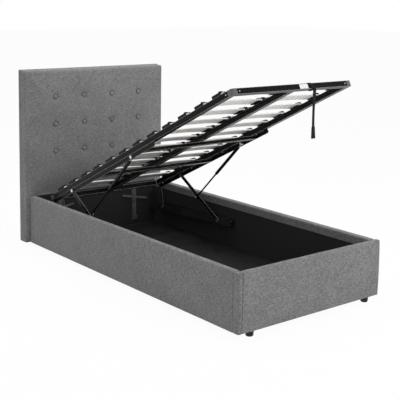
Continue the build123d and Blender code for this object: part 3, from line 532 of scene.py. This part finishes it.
def steps(low, high, pitch):
    """Even places strictly between two ends, about a pitch apart."""
    count = max(1, round((high - low) / pitch))
    return [low + (high - low) * i / count for i in range(1, count)]


def shape_points(piece, move):
    """Move every point; move gives a new place in millimetres for an old one."""
    for vert in piece.data.vertices:
        vert.co = Vector(move(vert.co / MM)) * MM


def finish_piece(piece, body, slot, finish, *stands_for, smooth=40):
    """Leave edit mode, shade, and give a piece its finish, body and CAD nodes; the slot is not
    used.
    """
    if piece.mode == "EDIT":
        bpy.ops.object.mode_set(mode="OBJECT")
    bpy.ops.object.select_all(action="DESELECT")
    piece.select_set(True)
    bpy.context.view_layer.objects.active = piece
    if smooth:
        bpy.ops.object.shade_smooth_by_angle(angle=radians(smooth))
    piece.data.materials.clear()
    piece.data.materials.append(finish)
    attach(piece, body)
    if stands_for:
        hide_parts(*stands_for)
    piece.select_set(False)
    print(piece.name, len(piece.data.polygons), "faces on", body)


def apply_modifier(piece, kind, **settings):
    """Add a modifier to a piece and apply it at once."""
    modifier = piece.modifiers.new(kind.title(), kind)
    for name, value in settings.items():
        setattr(modifier, name, value)
    bpy.ops.object.select_all(action="DESELECT")
    piece.select_set(True)
    bpy.context.view_layer.objects.active = piece
    bpy.ops.object.modifier_apply(modifier=modifier.name)


def join_pieces(name, pieces):
    """Join separate solids of one kind into one object."""
    bpy.ops.object.select_all(action="DESELECT")
    for piece in pieces:
        piece.select_set(True)
    bpy.context.view_layer.objects.active = pieces[0]
    bpy.ops.object.join()
    joined = bpy.context.object
    bpy.ops.object.transform_apply(location=True, rotation=True, scale=True)
    joined.name = joined.data.name = name
    return joined


def ripple(point, cell, depth):
    """Small soft unevenness of cloth over foam, the same at every run."""
    return depth * noise.noise(Vector(point) / cell)


print("modelling helpers ready")

# %% [markdown]
# ## Rail covers
# Each long rail is a board in thin foam and cloth. The cloth comes up the outside,
# turns over the top and is stapled 45 mm down the inside, where the black lining
# starts. A cube stands for the outer wall; its top is extruded up and inwards and then
# down to make the turned-in flap, the top edges are bevelled, and after slicing the
# wall is given the slight crown and unevenness that foam has.

# %% Rail covers
OUTER_X = 491.0
INNER_X = 450.0
BOARD_INNER_X = 458.0
COVER = 8.0
BASE_Z = 28.0
RAIL_TOP_Z = 320.0
FLAP_Z = 275.0
FOOT_Y = -1020.5
FOOT_INNER_Y = -979.5
HEAD_Y = 940.5
EDGE_RADIUS = 12.0
EDGE_SEGMENTS = 5
FOOT_GAP = 0.6
RAIL_SLICE_UP = 24
RAIL_SLICE_ALONG = 32
WALL_CROWN = 1.6
BROAD_WAVE = (170, 1.1)
FINE_WAVE = (55, 0.35)
FLAP_WAVE = (80, 0.5)
TOP_WAVE = (140, 0.8)
FOOT_TUCK = (3.2, 3.5)
HEAD_TUCK = (1.2, 5)


def soft_wall(place, low, high, depth):
    """Crown of a foam wall: nothing at its ends and depth in the middle."""
    share = min(max((place - low) / (high - low), 0), 1)
    return depth * (1 - (2 * share - 1) ** 4)


def fade(away, depth, reach):
    """A depth that dies away with distance."""
    return depth * exp(-away / reach)


def rail_cover(side, label):
    """Cover of the rail on one side: -1 left, 1 right."""
    wall = sorted((side * (OUTER_X - COVER), side * OUTER_X))
    low = (wall[0], FOOT_INNER_Y + FOOT_GAP, BASE_Z)
    high = (wall[1], HEAD_Y, RAIL_TOP_Z - COVER)
    cover = start_cube(f"{label}_rail_upholstery", low, high)
    pick(cover, "FACE", lambda c, n: n.z > 0.9)
    push((0, 0, COVER))
    inner = side * (OUTER_X - COVER)
    pick(cover, "FACE", lambda c, n: n.x * side < -0.9 and c.z > RAIL_TOP_Z - COVER)
    push((-side * (OUTER_X - COVER - BOARD_INNER_X), 0, 0))
    push((-side * (BOARD_INNER_X - INNER_X), 0, 0))
    pick(cover, "FACE", lambda c, n: n.z < -0.9 and abs(c.x) < BOARD_INNER_X and c.z > 200)
    push((0, 0, FLAP_Z - RAIL_TOP_Z + COVER))
    pick(cover, "EDGE", lambda c, d: abs(d.y) > 0.9 and c.z > RAIL_TOP_Z - 1
         and (abs(c.x) > OUTER_X - 1 or abs(c.x) < INNER_X + 1))
    bpy.ops.mesh.bevel(offset=EDGE_RADIUS * MM, segments=EDGE_SEGMENTS, affect="EDGES")
    slice_at("Z", steps(BASE_Z, RAIL_TOP_Z - EDGE_RADIUS, RAIL_SLICE_UP))
    ends = [FOOT_INNER_Y + d for d in (2, 4, 8, 16)] + [HEAD_Y - d for d in (16, 8, 4, 2)]
    slice_at("Y", ends + steps(FOOT_INNER_Y, HEAD_Y, RAIL_SLICE_ALONG))
    bpy.ops.object.mode_set(mode="OBJECT")

    def soften(p):
        out = soft_wall(p.z, BASE_Z, RAIL_TOP_Z, WALL_CROWN)
        out += ripple(p, *BROAD_WAVE) + ripple(p, *FINE_WAVE)
        tuck = fade(p.y - FOOT_INNER_Y, *FOOT_TUCK) + fade(HEAD_Y - p.y, *HEAD_TUCK)
        x, z = p.x, p.z
        if abs(p.x) > OUTER_X - COVER + 0.5:
            x += side * (out - tuck)
        if p.z > RAIL_TOP_Z - EDGE_RADIUS:
            z += ripple((p.y, 3, 7), *TOP_WAVE) - tuck
        if abs(p.x) < INNER_X + 0.5:
            x += side * (tuck / 2 + ripple(p, *FLAP_WAVE))
        return x, p.y, z

    shape_points(cover, soften)
    finish_piece(cover, "box", "base_fabric", upholstery, f"{label}_rail_cover")
    return cover


rail_cover(-1, "left")
rail_cover(1, "right")

# %% [markdown]
# ## Foot panel cover
# The foot panel is wrapped the same way, but its cover has three parts: a front, and a
# strip round each corner. The strip is sewn to the front about 21 mm in from the end,
# and the allowance inside lifts the cloth beside the seam into a soft roll. The seam is
# a groove in the mesh with a roll next to it, which is why the mesh is sliced finely
# there.

# %% Foot panel cover
CORNER_SEAM_X = 470.0
SEAM_DEPTH = 3.4
SEAM_HALF = 2.4
SEAM_DRAW = (3.4, 13)
SEAM_SLICES = (-40, -30, -22, -16, -12, -9, -6, -4, -2.4, -1.2, 0, 1.2, 2.4, 4, 6)
ROLL_HEIGHT = 1.6
ROLL_FROM_SEAM = 7
ROLL_HALF = 5
ROLL_WAVE = (26, 0.9)
FRONT_HALF = 460
FRONT_SLICE = 30
FOOT_SLICE_UP = 12
FOOT_BROAD_WAVE = (160, 1.1)
FOOT_FINE_WAVE = (50, 0.4)
FOOT_TOP_WAVE = (130, 0.8)
CORNER_TUCK = (3.0, 3.5)


def foot_cover():
    """Cover of the foot panel, open below round its board."""
    low, high = (-OUTER_X, FOOT_Y, BASE_Z), (OUTER_X, FOOT_INNER_Y, RAIL_TOP_Z)
    cover = start_cube("foot_upholstery", low, high)
    pick(cover, "EDGE", lambda c, d: (abs(d.x) > 0.9 and c.z > RAIL_TOP_Z - EDGE_RADIUS)
         or (abs(d.z) > 0.9 and c.y < FOOT_Y + EDGE_RADIUS))
    bpy.ops.mesh.bevel(offset=EDGE_RADIUS * MM, segments=EDGE_SEGMENTS, affect="EDGES")
    seams = [s * (CORNER_SEAM_X + d) for s in (-1, 1) for d in SEAM_SLICES]
    ends = [-FRONT_HALF, FRONT_HALF]
    slice_at("X", steps(*ends, FRONT_SLICE) + ends + seams + [-INNER_X - 0.5, INNER_X + 0.5])
    slice_at("Z", steps(BASE_Z, RAIL_TOP_Z - EDGE_RADIUS, FOOT_SLICE_UP) + [FLAP_Z])
    slice_at("Y", [FOOT_INNER_Y - d for d in (2, 5, COVER, 14)])
    pick(cover, "FACE", lambda c, n: n.z < -0.9 and c.y < FOOT_INNER_Y - COVER)
    bpy.ops.mesh.delete(type="FACE")
    bpy.ops.object.mode_set(mode="OBJECT")

    def soften(p):
        x, y, z = p
        beside = abs(abs(p.x) - CORNER_SEAM_X)
        groove = SEAM_DEPTH * exp(-((beside / SEAM_HALF) ** 2))
        roll = ROLL_HEIGHT * exp(-(((beside - ROLL_FROM_SEAM) / ROLL_HALF) ** 2))
        roll *= 1 + ripple((9, 4, p.z), *ROLL_WAVE)
        if p.x > 0:
            groove, roll = 0.35 * groove, 0.5 * roll
        elif p.x > -CORNER_SEAM_X:
            groove += fade(beside, *SEAM_DRAW)
            roll *= 0.3
        lift = soft_wall(p.z, BASE_Z, RAIL_TOP_Z, WALL_CROWN)
        lift += ripple(p, *FOOT_BROAD_WAVE) + ripple(p, *FOOT_FINE_WAVE)
        if p.y < FOOT_Y + EDGE_RADIUS:
            y += groove - roll - lift
        if p.z > RAIL_TOP_Z - EDGE_RADIUS:
            z += ripple((p.x, 5, 9), *FOOT_TOP_WAVE) - groove + roll / 2
        if abs(p.x) > OUTER_X - EDGE_RADIUS:
            side = 1 if p.x > 0 else -1
            x += side * (0.8 * lift - fade(FOOT_INNER_Y - p.y, *CORNER_TUCK))
        return x, y, z

    shape_points(cover, soften)
    finish_piece(cover, "box", "base_fabric", upholstery, "foot_board_cover")
    return cover


foot_cover()

# %% [markdown]
# ## Headboard cushion
# The headboard is a board with foam in front, covered in one cloth and held down by
# twelve buttons. A cushion like this is best found by a simulation: a remesh gives the
# block even faces, then air pressure swells it while the points along the back and the
# foot are held. Each point may only move a few millimetres, because foam hardly
# stretches. The buttons' tufts and creases are drawn into the swelled shape.

# %% Headboard cushion
HEAD_HALF = 524.5
HEAD_TOP_Z = 1104.0
HEAD_BACK_Y = 1018.8
SIDE_EDGE = 9.0
TOP_EDGE = 15.0
CROWN = 12.0
CROWN_POWER = 6
CROWN_START_Z = 340.0
EDGE_STEPS = 6
BACK_EDGE = 6
BACK_EDGE_STEPS = 3
FRONT_FADE = 30
TUFT_DEPTH = 6.0
TUFT_REACH = 34.0
TUFT_POWER = 1.5
TUFT_END = 120
CREASE_DEPTH = 2.2
CREASE_FROM_BUTTON = 24
CREASE_HALF = 12
CREASES = 3
CREASE_TURN = 0.7
RIM_DEPTH = 8.0
RIM_RADIUS = 14.5
RIM_HALF = 2.8
CUSHION_VOXEL = 10.0
BUTTON_XS = (-313.5, -104.5, 104.5, 313.5)
BUTTON_ZS = (932.0, 761.0, 590.0)
BUTTON_PLACES = [(x, z) for z in BUTTON_ZS for x in BUTTON_XS]


def crown(x, z):
    """How far the foam stands proud of the board's front edge: flat, then falling away."""
    half = (HEAD_TOP_Z - CROWN_START_Z) / 2
    if z < CROWN_START_Z:
        return 0.0
    across = 1 - min(abs(x) / HEAD_HALF, 1) ** CROWN_POWER
    upright = 1 - min(abs(z - CROWN_START_Z - half) / half, 1) ** CROWN_POWER
    return CROWN * across * upright


def tuft(x, z):
    """How far the buttons pull the cloth in at a place, with creases round each."""
    pull = 0.0
    for bx, bz in BUTTON_PLACES:
        dx, dz = x - bx, z - bz
        away = hypot(dx, dz)
        if away > TUFT_END:
            continue
        pull += TUFT_DEPTH * exp(-((away / TUFT_REACH) ** TUFT_POWER))
        pull += RIM_DEPTH * exp(-(((away - RIM_RADIUS) / RIM_HALF) ** 2))
        folds = max(0, cos(CREASES * atan2(dz, dx) + bx * CREASE_TURN)) ** 3
        pull += CREASE_DEPTH * folds * exp(-(((away - CREASE_FROM_BUTTON) / CREASE_HALF) ** 2))
    return pull


def front_share(p):
    """1 on the front face, fading to nothing on the sides behind it."""
    return min(max((HEAD_Y + FRONT_FADE - p.y) / FRONT_FADE, 0), 1)


def headboard_cushion():
    """Padded front and sides of the headboard in one closed form."""
    low, high = (-HEAD_HALF, HEAD_Y, BASE_Z), (HEAD_HALF, HEAD_BACK_Y, HEAD_TOP_Z)
    pad = start_cube("headboard_cushion", low, high)
    pick(pad, "EDGE", lambda c, d: c.y < HEAD_Y + 1 and abs(d.z) > 0.9)
    bpy.ops.mesh.bevel(offset=SIDE_EDGE * MM, segments=EDGE_STEPS, affect="EDGES")
    pick(pad, "EDGE", lambda c, d: abs(d.z) < 0.1 and c.z > HEAD_TOP_Z - 1
         and c.y < HEAD_Y + SIDE_EDGE + 1)
    bpy.ops.mesh.bevel(offset=TOP_EDGE * MM, segments=EDGE_STEPS, affect="EDGES")
    pick(pad, "EDGE", lambda c, d: c.y > HEAD_BACK_Y - 1 and c.z > BASE_Z + 1)
    bpy.ops.mesh.bevel(offset=BACK_EDGE * MM, segments=BACK_EDGE_STEPS, affect="EDGES")
    bpy.ops.object.mode_set(mode="OBJECT")
    pad.data.remesh_voxel_size = CUSHION_VOXEL * MM
    bpy.ops.object.voxel_remesh()
    shape_points(pad, lambda p: (p.x, p.y - front_share(p) * crown(p.x, p.z), p.z))
    return pad


cushion = headboard_cushion()
print("cushion", len(cushion.data.vertices), "points")

# %% Headboard cushion swelled by pressure
SWELL_FRAMES = 20
SWELL_LIMIT = 6.0
SWELL_PRESSURE = 4
CLOTH_STRETCH = 25
CLOTH_BEND = 1.5
HELD_AT_BACK = 14
HELD_AT_FOOT = 10
FINE_REACH = 34.0
HEAD_BROAD_WAVE = (150, 1.0)
HEAD_FINE_WAVE = (48, 0.35)


def swell(piece, held, limit):
    """Blow a piece up with cloth pressure; held points stay, others near a soft limit."""
    start = [v.co.copy() for v in piece.data.vertices]
    group = piece.vertex_groups.new(name="held")
    group.add([v.index for v in piece.data.vertices if held(v.co / MM)], 1.0, "REPLACE")
    cloth = piece.modifiers.new("Cloth", "CLOTH")
    cloth.settings.vertex_group_mass = "held"
    cloth.settings.use_pressure = True
    cloth.settings.uniform_pressure_force = SWELL_PRESSURE
    cloth.settings.effector_weights.gravity = 0
    cloth.settings.tension_stiffness = CLOTH_STRETCH
    cloth.settings.compression_stiffness = CLOTH_STRETCH
    cloth.settings.bending_stiffness = CLOTH_BEND
    cloth.collision_settings.use_collision = False
    for number in range(1, SWELL_FRAMES + 1):
        scene.frame_set(number)
    bpy.context.view_layer.objects.active = piece
    piece.select_set(True)
    bpy.ops.object.modifier_apply(modifier=cloth.name)
    scene.frame_set(1)
    for vert, old in zip(piece.data.vertices, start):
        move = vert.co - old
        if move.length > 0:
            vert.co = old + move.normalized() * limit * MM * tanh(move.length / (limit * MM))
    piece.vertex_groups.clear()


def held_by_board(p):
    """Points at the back and at the foot, where the cloth is stapled."""
    return p.y > HEAD_BACK_Y - HELD_AT_BACK or p.z < BASE_Z + HELD_AT_FOOT


swell(cushion, held_by_board, SWELL_LIMIT)
apply_modifier(cushion, "SUBSURF", levels=1, render_levels=1)
bpy.ops.object.mode_set(mode="EDIT")
pick(cushion, "FACE", lambda c, n: c.y < HEAD_Y + 10
     and any(hypot(c.x - x, c.z - z) < FINE_REACH for x, z in BUTTON_PLACES))
bpy.ops.mesh.subdivide(number_cuts=2, smoothness=0)
bpy.ops.object.mode_set(mode="OBJECT")


def pull_in(p):
    """Sink the front at the buttons, after the swelling, and leave it slightly uneven."""
    uneven = ripple(p, *HEAD_BROAD_WAVE) + ripple(p, *HEAD_FINE_WAVE)
    return p.x, p.y + front_share(p) * (tuft(p.x, p.z) + uneven), p.z


shape_points(cushion, pull_in)
finish_piece(cushion, "box", "headboard_fabric", headboard_cloth, "headboard_pad", smooth=60)

# %% [markdown]
# ## Buttons
# Each button is a metal shell under the same cloth. Its twine pulls it into the foam,
# so only a low dome shows, with the cloth drawn in round its rim. A flattened sphere
# gives the dome; the twelve copies are joined because they are one kind of piece.

# %% Buttons
BUTTON_RADIUS = 12.5
BUTTON_DOME = 6.0
BUTTON_RIM = 1.2
BUTTON_BACK = 2.0
BUTTON_SIDES = 28
BUTTON_RINGS = 14


def front_at(x, z):
    """Foremost depth of the cushion at a place, in millimetres."""
    start = Vector((x, HEAD_Y - 60, z)) * MM
    hit, place, _, _ = cushion.ray_cast(start, Vector((0, 1, 0)))
    return place.y / MM if hit else HEAD_Y


def button_at(x, z):
    """One covered button, sunk a little into its tuft."""
    place = Vector((x, front_at(x, z), z))
    bpy.ops.object.select_all(action="DESELECT")
    bpy.ops.mesh.primitive_uv_sphere_add(segments=BUTTON_SIDES, ring_count=BUTTON_RINGS,
                                         radius=BUTTON_RADIUS * MM)
    button = bpy.context.object
    for vert in button.data.vertices:
        x_off, y_off, z_off = vert.co / MM
        away = hypot(x_off, z_off) / BUTTON_RADIUS
        rise = BUTTON_DOME * (1 - away**2) ** 0.5 if away < 1 else 0
        y_off = -rise - BUTTON_RIM if y_off < 0 else min(y_off, BUTTON_BACK)
        vert.co = (place + Vector((x_off, y_off, z_off))) * MM
    return button


buttons = join_pieces("headboard_button_set", [button_at(x, z) for x, z in BUTTON_PLACES])
finish_piece(buttons, "box", "headboard_fabric", headboard_cloth, "headboard_buttons", smooth=60)

# %% [markdown]
# ## Back cloth
# The back of the headboard is closed by thin black cloth. It is folded under at its
# edge, pulled tight and stapled every hand's width, so it dips a little between the
# staples. A cube is thinned to a sheet, sliced so that it can dip, and the points near
# its edge are raised into the fold.

# %% Back cloth
BACK_HALF = 512.0
BACK_LOW_Z = 38.0
BACK_HIGH_Z = 1090.0
BACK_Y = 1019.1
CLOTH_THICK = 0.9
BACK_SLICE = 24
HEM_SLICES = (3, 12, 14)
HEM_WIDTH = 13
HEM_HEIGHT = 0.7
PUCKER = (0.45, 45)
BACK_WAVE = (120, 0.3)
STAPLE_PITCH = 72.0
STAPLE_INSET = 6.0
STAPLE_HALF = 5.5
STAPLE_WIRE_HALF = 1
STAPLE_FROM_CLOTH = (1.0, 2.4)


def edge_distance(x, z):
    """How far a place on the back is from the cloth's nearest edge."""
    return min(BACK_HALF - abs(x), z - BACK_LOW_Z, BACK_HIGH_Z - z)


def back_sheet():
    """Back cloth of the headboard with its folded edge and small dips."""
    low = (-BACK_HALF, BACK_Y, BACK_LOW_Z)
    sheet = start_cube("headboard_back_sheet", low, (BACK_HALF, BACK_Y + CLOTH_THICK, BACK_HIGH_Z))
    edges = [s * (BACK_HALF - d) for s in (-1, 1) for d in HEM_SLICES]
    slice_at("X", edges + steps(-490, 490, BACK_SLICE))
    edges = [BACK_LOW_Z + d for d in HEM_SLICES] + [BACK_HIGH_Z - d for d in HEM_SLICES]
    slice_at("Z", edges + steps(60, 1070, BACK_SLICE))
    bpy.ops.object.mode_set(mode="OBJECT")

    def dip(p):
        if p.y < BACK_Y + 0.1:
            return p
        inside = edge_distance(p.x, p.z)
        fold = HEM_HEIGHT if inside < HEM_WIDTH else 0
        along = p.z if BACK_HALF - abs(p.x) < min(p.z - BACK_LOW_Z, BACK_HIGH_Z - p.z) else p.x
        pucker = fade(inside, *PUCKER) * cos(2 * pi * along / STAPLE_PITCH)
        return p.x, p.y + fold - pucker - 0.2 + ripple(p, *BACK_WAVE), p.z

    shape_points(sheet, dip)
    finish_piece(sheet, "box", "back_cloth", back_cloth, "headboard_back_cloth")
    return sheet


def staple_at(x, z, upright):
    """One wire staple, its crown flat on the cloth."""
    across, up = (STAPLE_WIRE_HALF, STAPLE_HALF) if upright else (STAPLE_HALF, STAPLE_WIRE_HALF)
    near, far = (BACK_Y + off for off in STAPLE_FROM_CLOTH)
    staple = start_cube("staple", (x - across, near, z - up), (x + across, far, z + up))
    bpy.ops.mesh.bevel(offset=0.35 * MM, segments=1, affect="EDGES")
    bpy.ops.object.mode_set(mode="OBJECT")
    return staple


back_sheet()
staple_xs = (STAPLE_INSET - BACK_HALF, BACK_HALF - STAPLE_INSET)
staple_zs = (BACK_LOW_Z + STAPLE_INSET, BACK_HIGH_Z - STAPLE_INSET)
staples = [staple_at(x, z, False) for z in staple_zs for x in steps(*staple_xs, STAPLE_PITCH)]
staples += [staple_at(x, z, True) for x in staple_xs for z in steps(*staple_zs, STAPLE_PITCH)]
staple_set = join_pieces("headboard_back_staples", staples)
finish_piece(staple_set, "box", "fastener", zinc)

# %% [markdown]
# ## Nuts at the struts' feet
# A bolt joins each strut's foot to the front arm, and its bright nut faces the middle
# of the bed. A six-sided cylinder with bevelled corners is set over the bolt's end.

# %% Strut foot nuts
STRUT_EYE_RADIUS = 8.5
NUT_RADIUS = 8.2
NUT_HEIGHT = 4.6
NUT_PROUD = 1.0
NUT_EDGE = 0.6


def foot_nut(side, label):
    """Nut on the inner end of a strut's foot bolt; side is -1 left, 1 right."""
    low, high = (Vector(corner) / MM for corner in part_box(f"{label}_strut_rod"))
    inner = high.x if side < 0 else low.x
    place = Vector((inner + side * (NUT_HEIGHT / 2 - NUT_PROUD), high.y - STRUT_EYE_RADIUS,
                    low.z + STRUT_EYE_RADIUS))
    bpy.ops.object.select_all(action="DESELECT")
    bpy.ops.mesh.primitive_cylinder_add(vertices=6, radius=NUT_RADIUS * MM, depth=NUT_HEIGHT * MM,
                                        location=place * MM, rotation=(0, pi / 2, 0))
    nut = bpy.context.object
    nut.name = nut.data.name = f"{label}_strut_foot_nut"
    bpy.ops.object.transform_apply(location=True, rotation=True, scale=True)
    apply_modifier(nut, "BEVEL", width=NUT_EDGE * MM, segments=2, angle_limit=radians(40))
    finish_piece(nut, f"{label}_strut_rod", "fastener", zinc)


foot_nut(-1, "left")
foot_nut(1, "right")

# %% [markdown]
# ## Pull strap
# The strap is flat webbing: a loop sewn tight round the foot bar, and a tail whose end
# is turned back on itself and sewn, so that it is wider and twice as thick there. The
# tail hangs by its own weight. Webbing this thin is best made directly: one quad is
# extruded along the path, edge by edge, and Solidify gives it thickness.

# %% Pull strap
STRAP_WIDTH = 24.0
STRAP_THICK = 2.0
LOOP_HALF = 16.8
LOOP_CORNER = 4.0
LOOP_SLANT = 26.0
TAIL_SET = 2.0
TAIL_SLICES = 40
TAIL_BEND = 4.0
TAIL_TWIST = 0.16
TAIL_WIDTH_SHARE = 0.80
END_WIDTH_SHARE = 1.16
NARROWING_REACH = 22
END_LENGTH = 62.0
END_STEP = 4
STRAP_EDGE = 0.5
CORNER_STEPS = 5


def middle_of(node):
    """Middle of a CAD node's box in millimetres."""
    low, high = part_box(node)
    return (Vector(low) + Vector(high)) / 2 / MM


foot_bar = middle_of("foot_tube")
down_deck = (middle_of("head_tube") - foot_bar).normalized()
out_of_deck = Vector((1, 0, 0)).cross(down_deck)


def ribbon(name, path, width):
    """Strip of faces along a path, its width along X."""
    bpy.ops.object.select_all(action="DESELECT")
    bpy.ops.mesh.primitive_plane_add(size=1)
    strip = bpy.context.object
    strip.name = strip.data.name = name
    for vert in strip.data.vertices:
        end = path[0] if vert.co.y < 0 else path[1]
        vert.co = (Vector(end) + Vector((width * vert.co.x, 0, 0))) * MM
    bpy.ops.object.mode_set(mode="EDIT")
    for start, end in zip(path[1:], path[2:]):
        pick(strip, "EDGE", lambda c, d: abs(d.x) > 0.99 and (c - Vector(start)).length < 0.01)
        push(Vector(end) - Vector(start))
    slice_at("X", [min(p[0] for p in path)])
    bpy.ops.mesh.select_all(action="SELECT")
    bpy.ops.mesh.remove_doubles(threshold=0.01 * MM)
    bpy.ops.object.mode_set(mode="OBJECT")
    return strip


def thicken(strip, thickness):
    """Give a strip its thickness and soft edges."""
    apply_modifier(strip, "SOLIDIFY", thickness=thickness * MM, offset=0)
    apply_modifier(strip, "BEVEL", width=STRAP_EDGE * MM, segments=2, angle_limit=radians(60))


def loop_path():
    """Path round the foot bar, slanting down its front face."""
    straight = LOOP_HALF - LOOP_CORNER
    path = []
    for turn in range(4):
        for step in range(CORNER_STEPS):
            angle = pi / 2 * (turn + step / (CORNER_STEPS - 1))
            corner = pi / 2 * turn + pi / 4
            along = straight * 2**0.5 * cos(corner) + LOOP_CORNER * cos(angle)
            across = straight * 2**0.5 * sin(corner) + LOOP_CORNER * sin(angle)
            slant = LOOP_SLANT * (min(max(across / LOOP_HALF, -1), 1) + 1) / 2
            place = foot_bar + along * down_deck + across * out_of_deck
            path.append((strap_x - slant, place.y, place.z))
    return path + path[:1]


strap_x = middle_of("pull_strap").x
loop = ribbon("strap_loop_webbing", loop_path(), STRAP_WIDTH)
thicken(loop, STRAP_THICK)
finish_piece(loop, "slat_frame", "webbing", webbing, "strap_loop")

tail_low, tail_high = (Vector(corner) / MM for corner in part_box("pull_strap"))
tail_length = tail_high.z - tail_low.z
tail_y = middle_of("pull_strap").y
tail_path = [(strap_x, tail_y, tail_high.z - tail_length * i / TAIL_SLICES)
             for i in range(TAIL_SLICES + 1)]
tail = ribbon("pull_strap_webbing", tail_path, STRAP_WIDTH)


def hang(p):
    """Draw the tail in, widen its doubled end, and let it bend and twist a little."""
    down = tail_high.z - p.z
    width = TAIL_WIDTH_SHARE + (1 - TAIL_WIDTH_SHARE) * exp(-down / NARROWING_REACH)
    if down > tail_length - END_LENGTH:
        width = END_WIDTH_SHARE
    off = (p.x - strap_x) * width
    bend = TAIL_SET - TAIL_BEND * sin(pi * down / tail_length)
    twist = TAIL_TWIST * sin(pi * down / tail_length)
    return strap_x + bend + off, p.y + off * twist, p.z


shape_points(tail, hang)
thicken(tail, STRAP_THICK)


def double_end(p):
    """Make the sewn end twice as thick."""
    down = tail_high.z - p.z
    share = min(max((down - tail_length + END_LENGTH) / END_STEP, 0), 1)
    return p.x, tail_y + (p.y - tail_y) * (1 + share), p.z


shape_points(tail, double_end)
finish_piece(tail, "pull_strap", "webbing", webbing, "pull_strap")
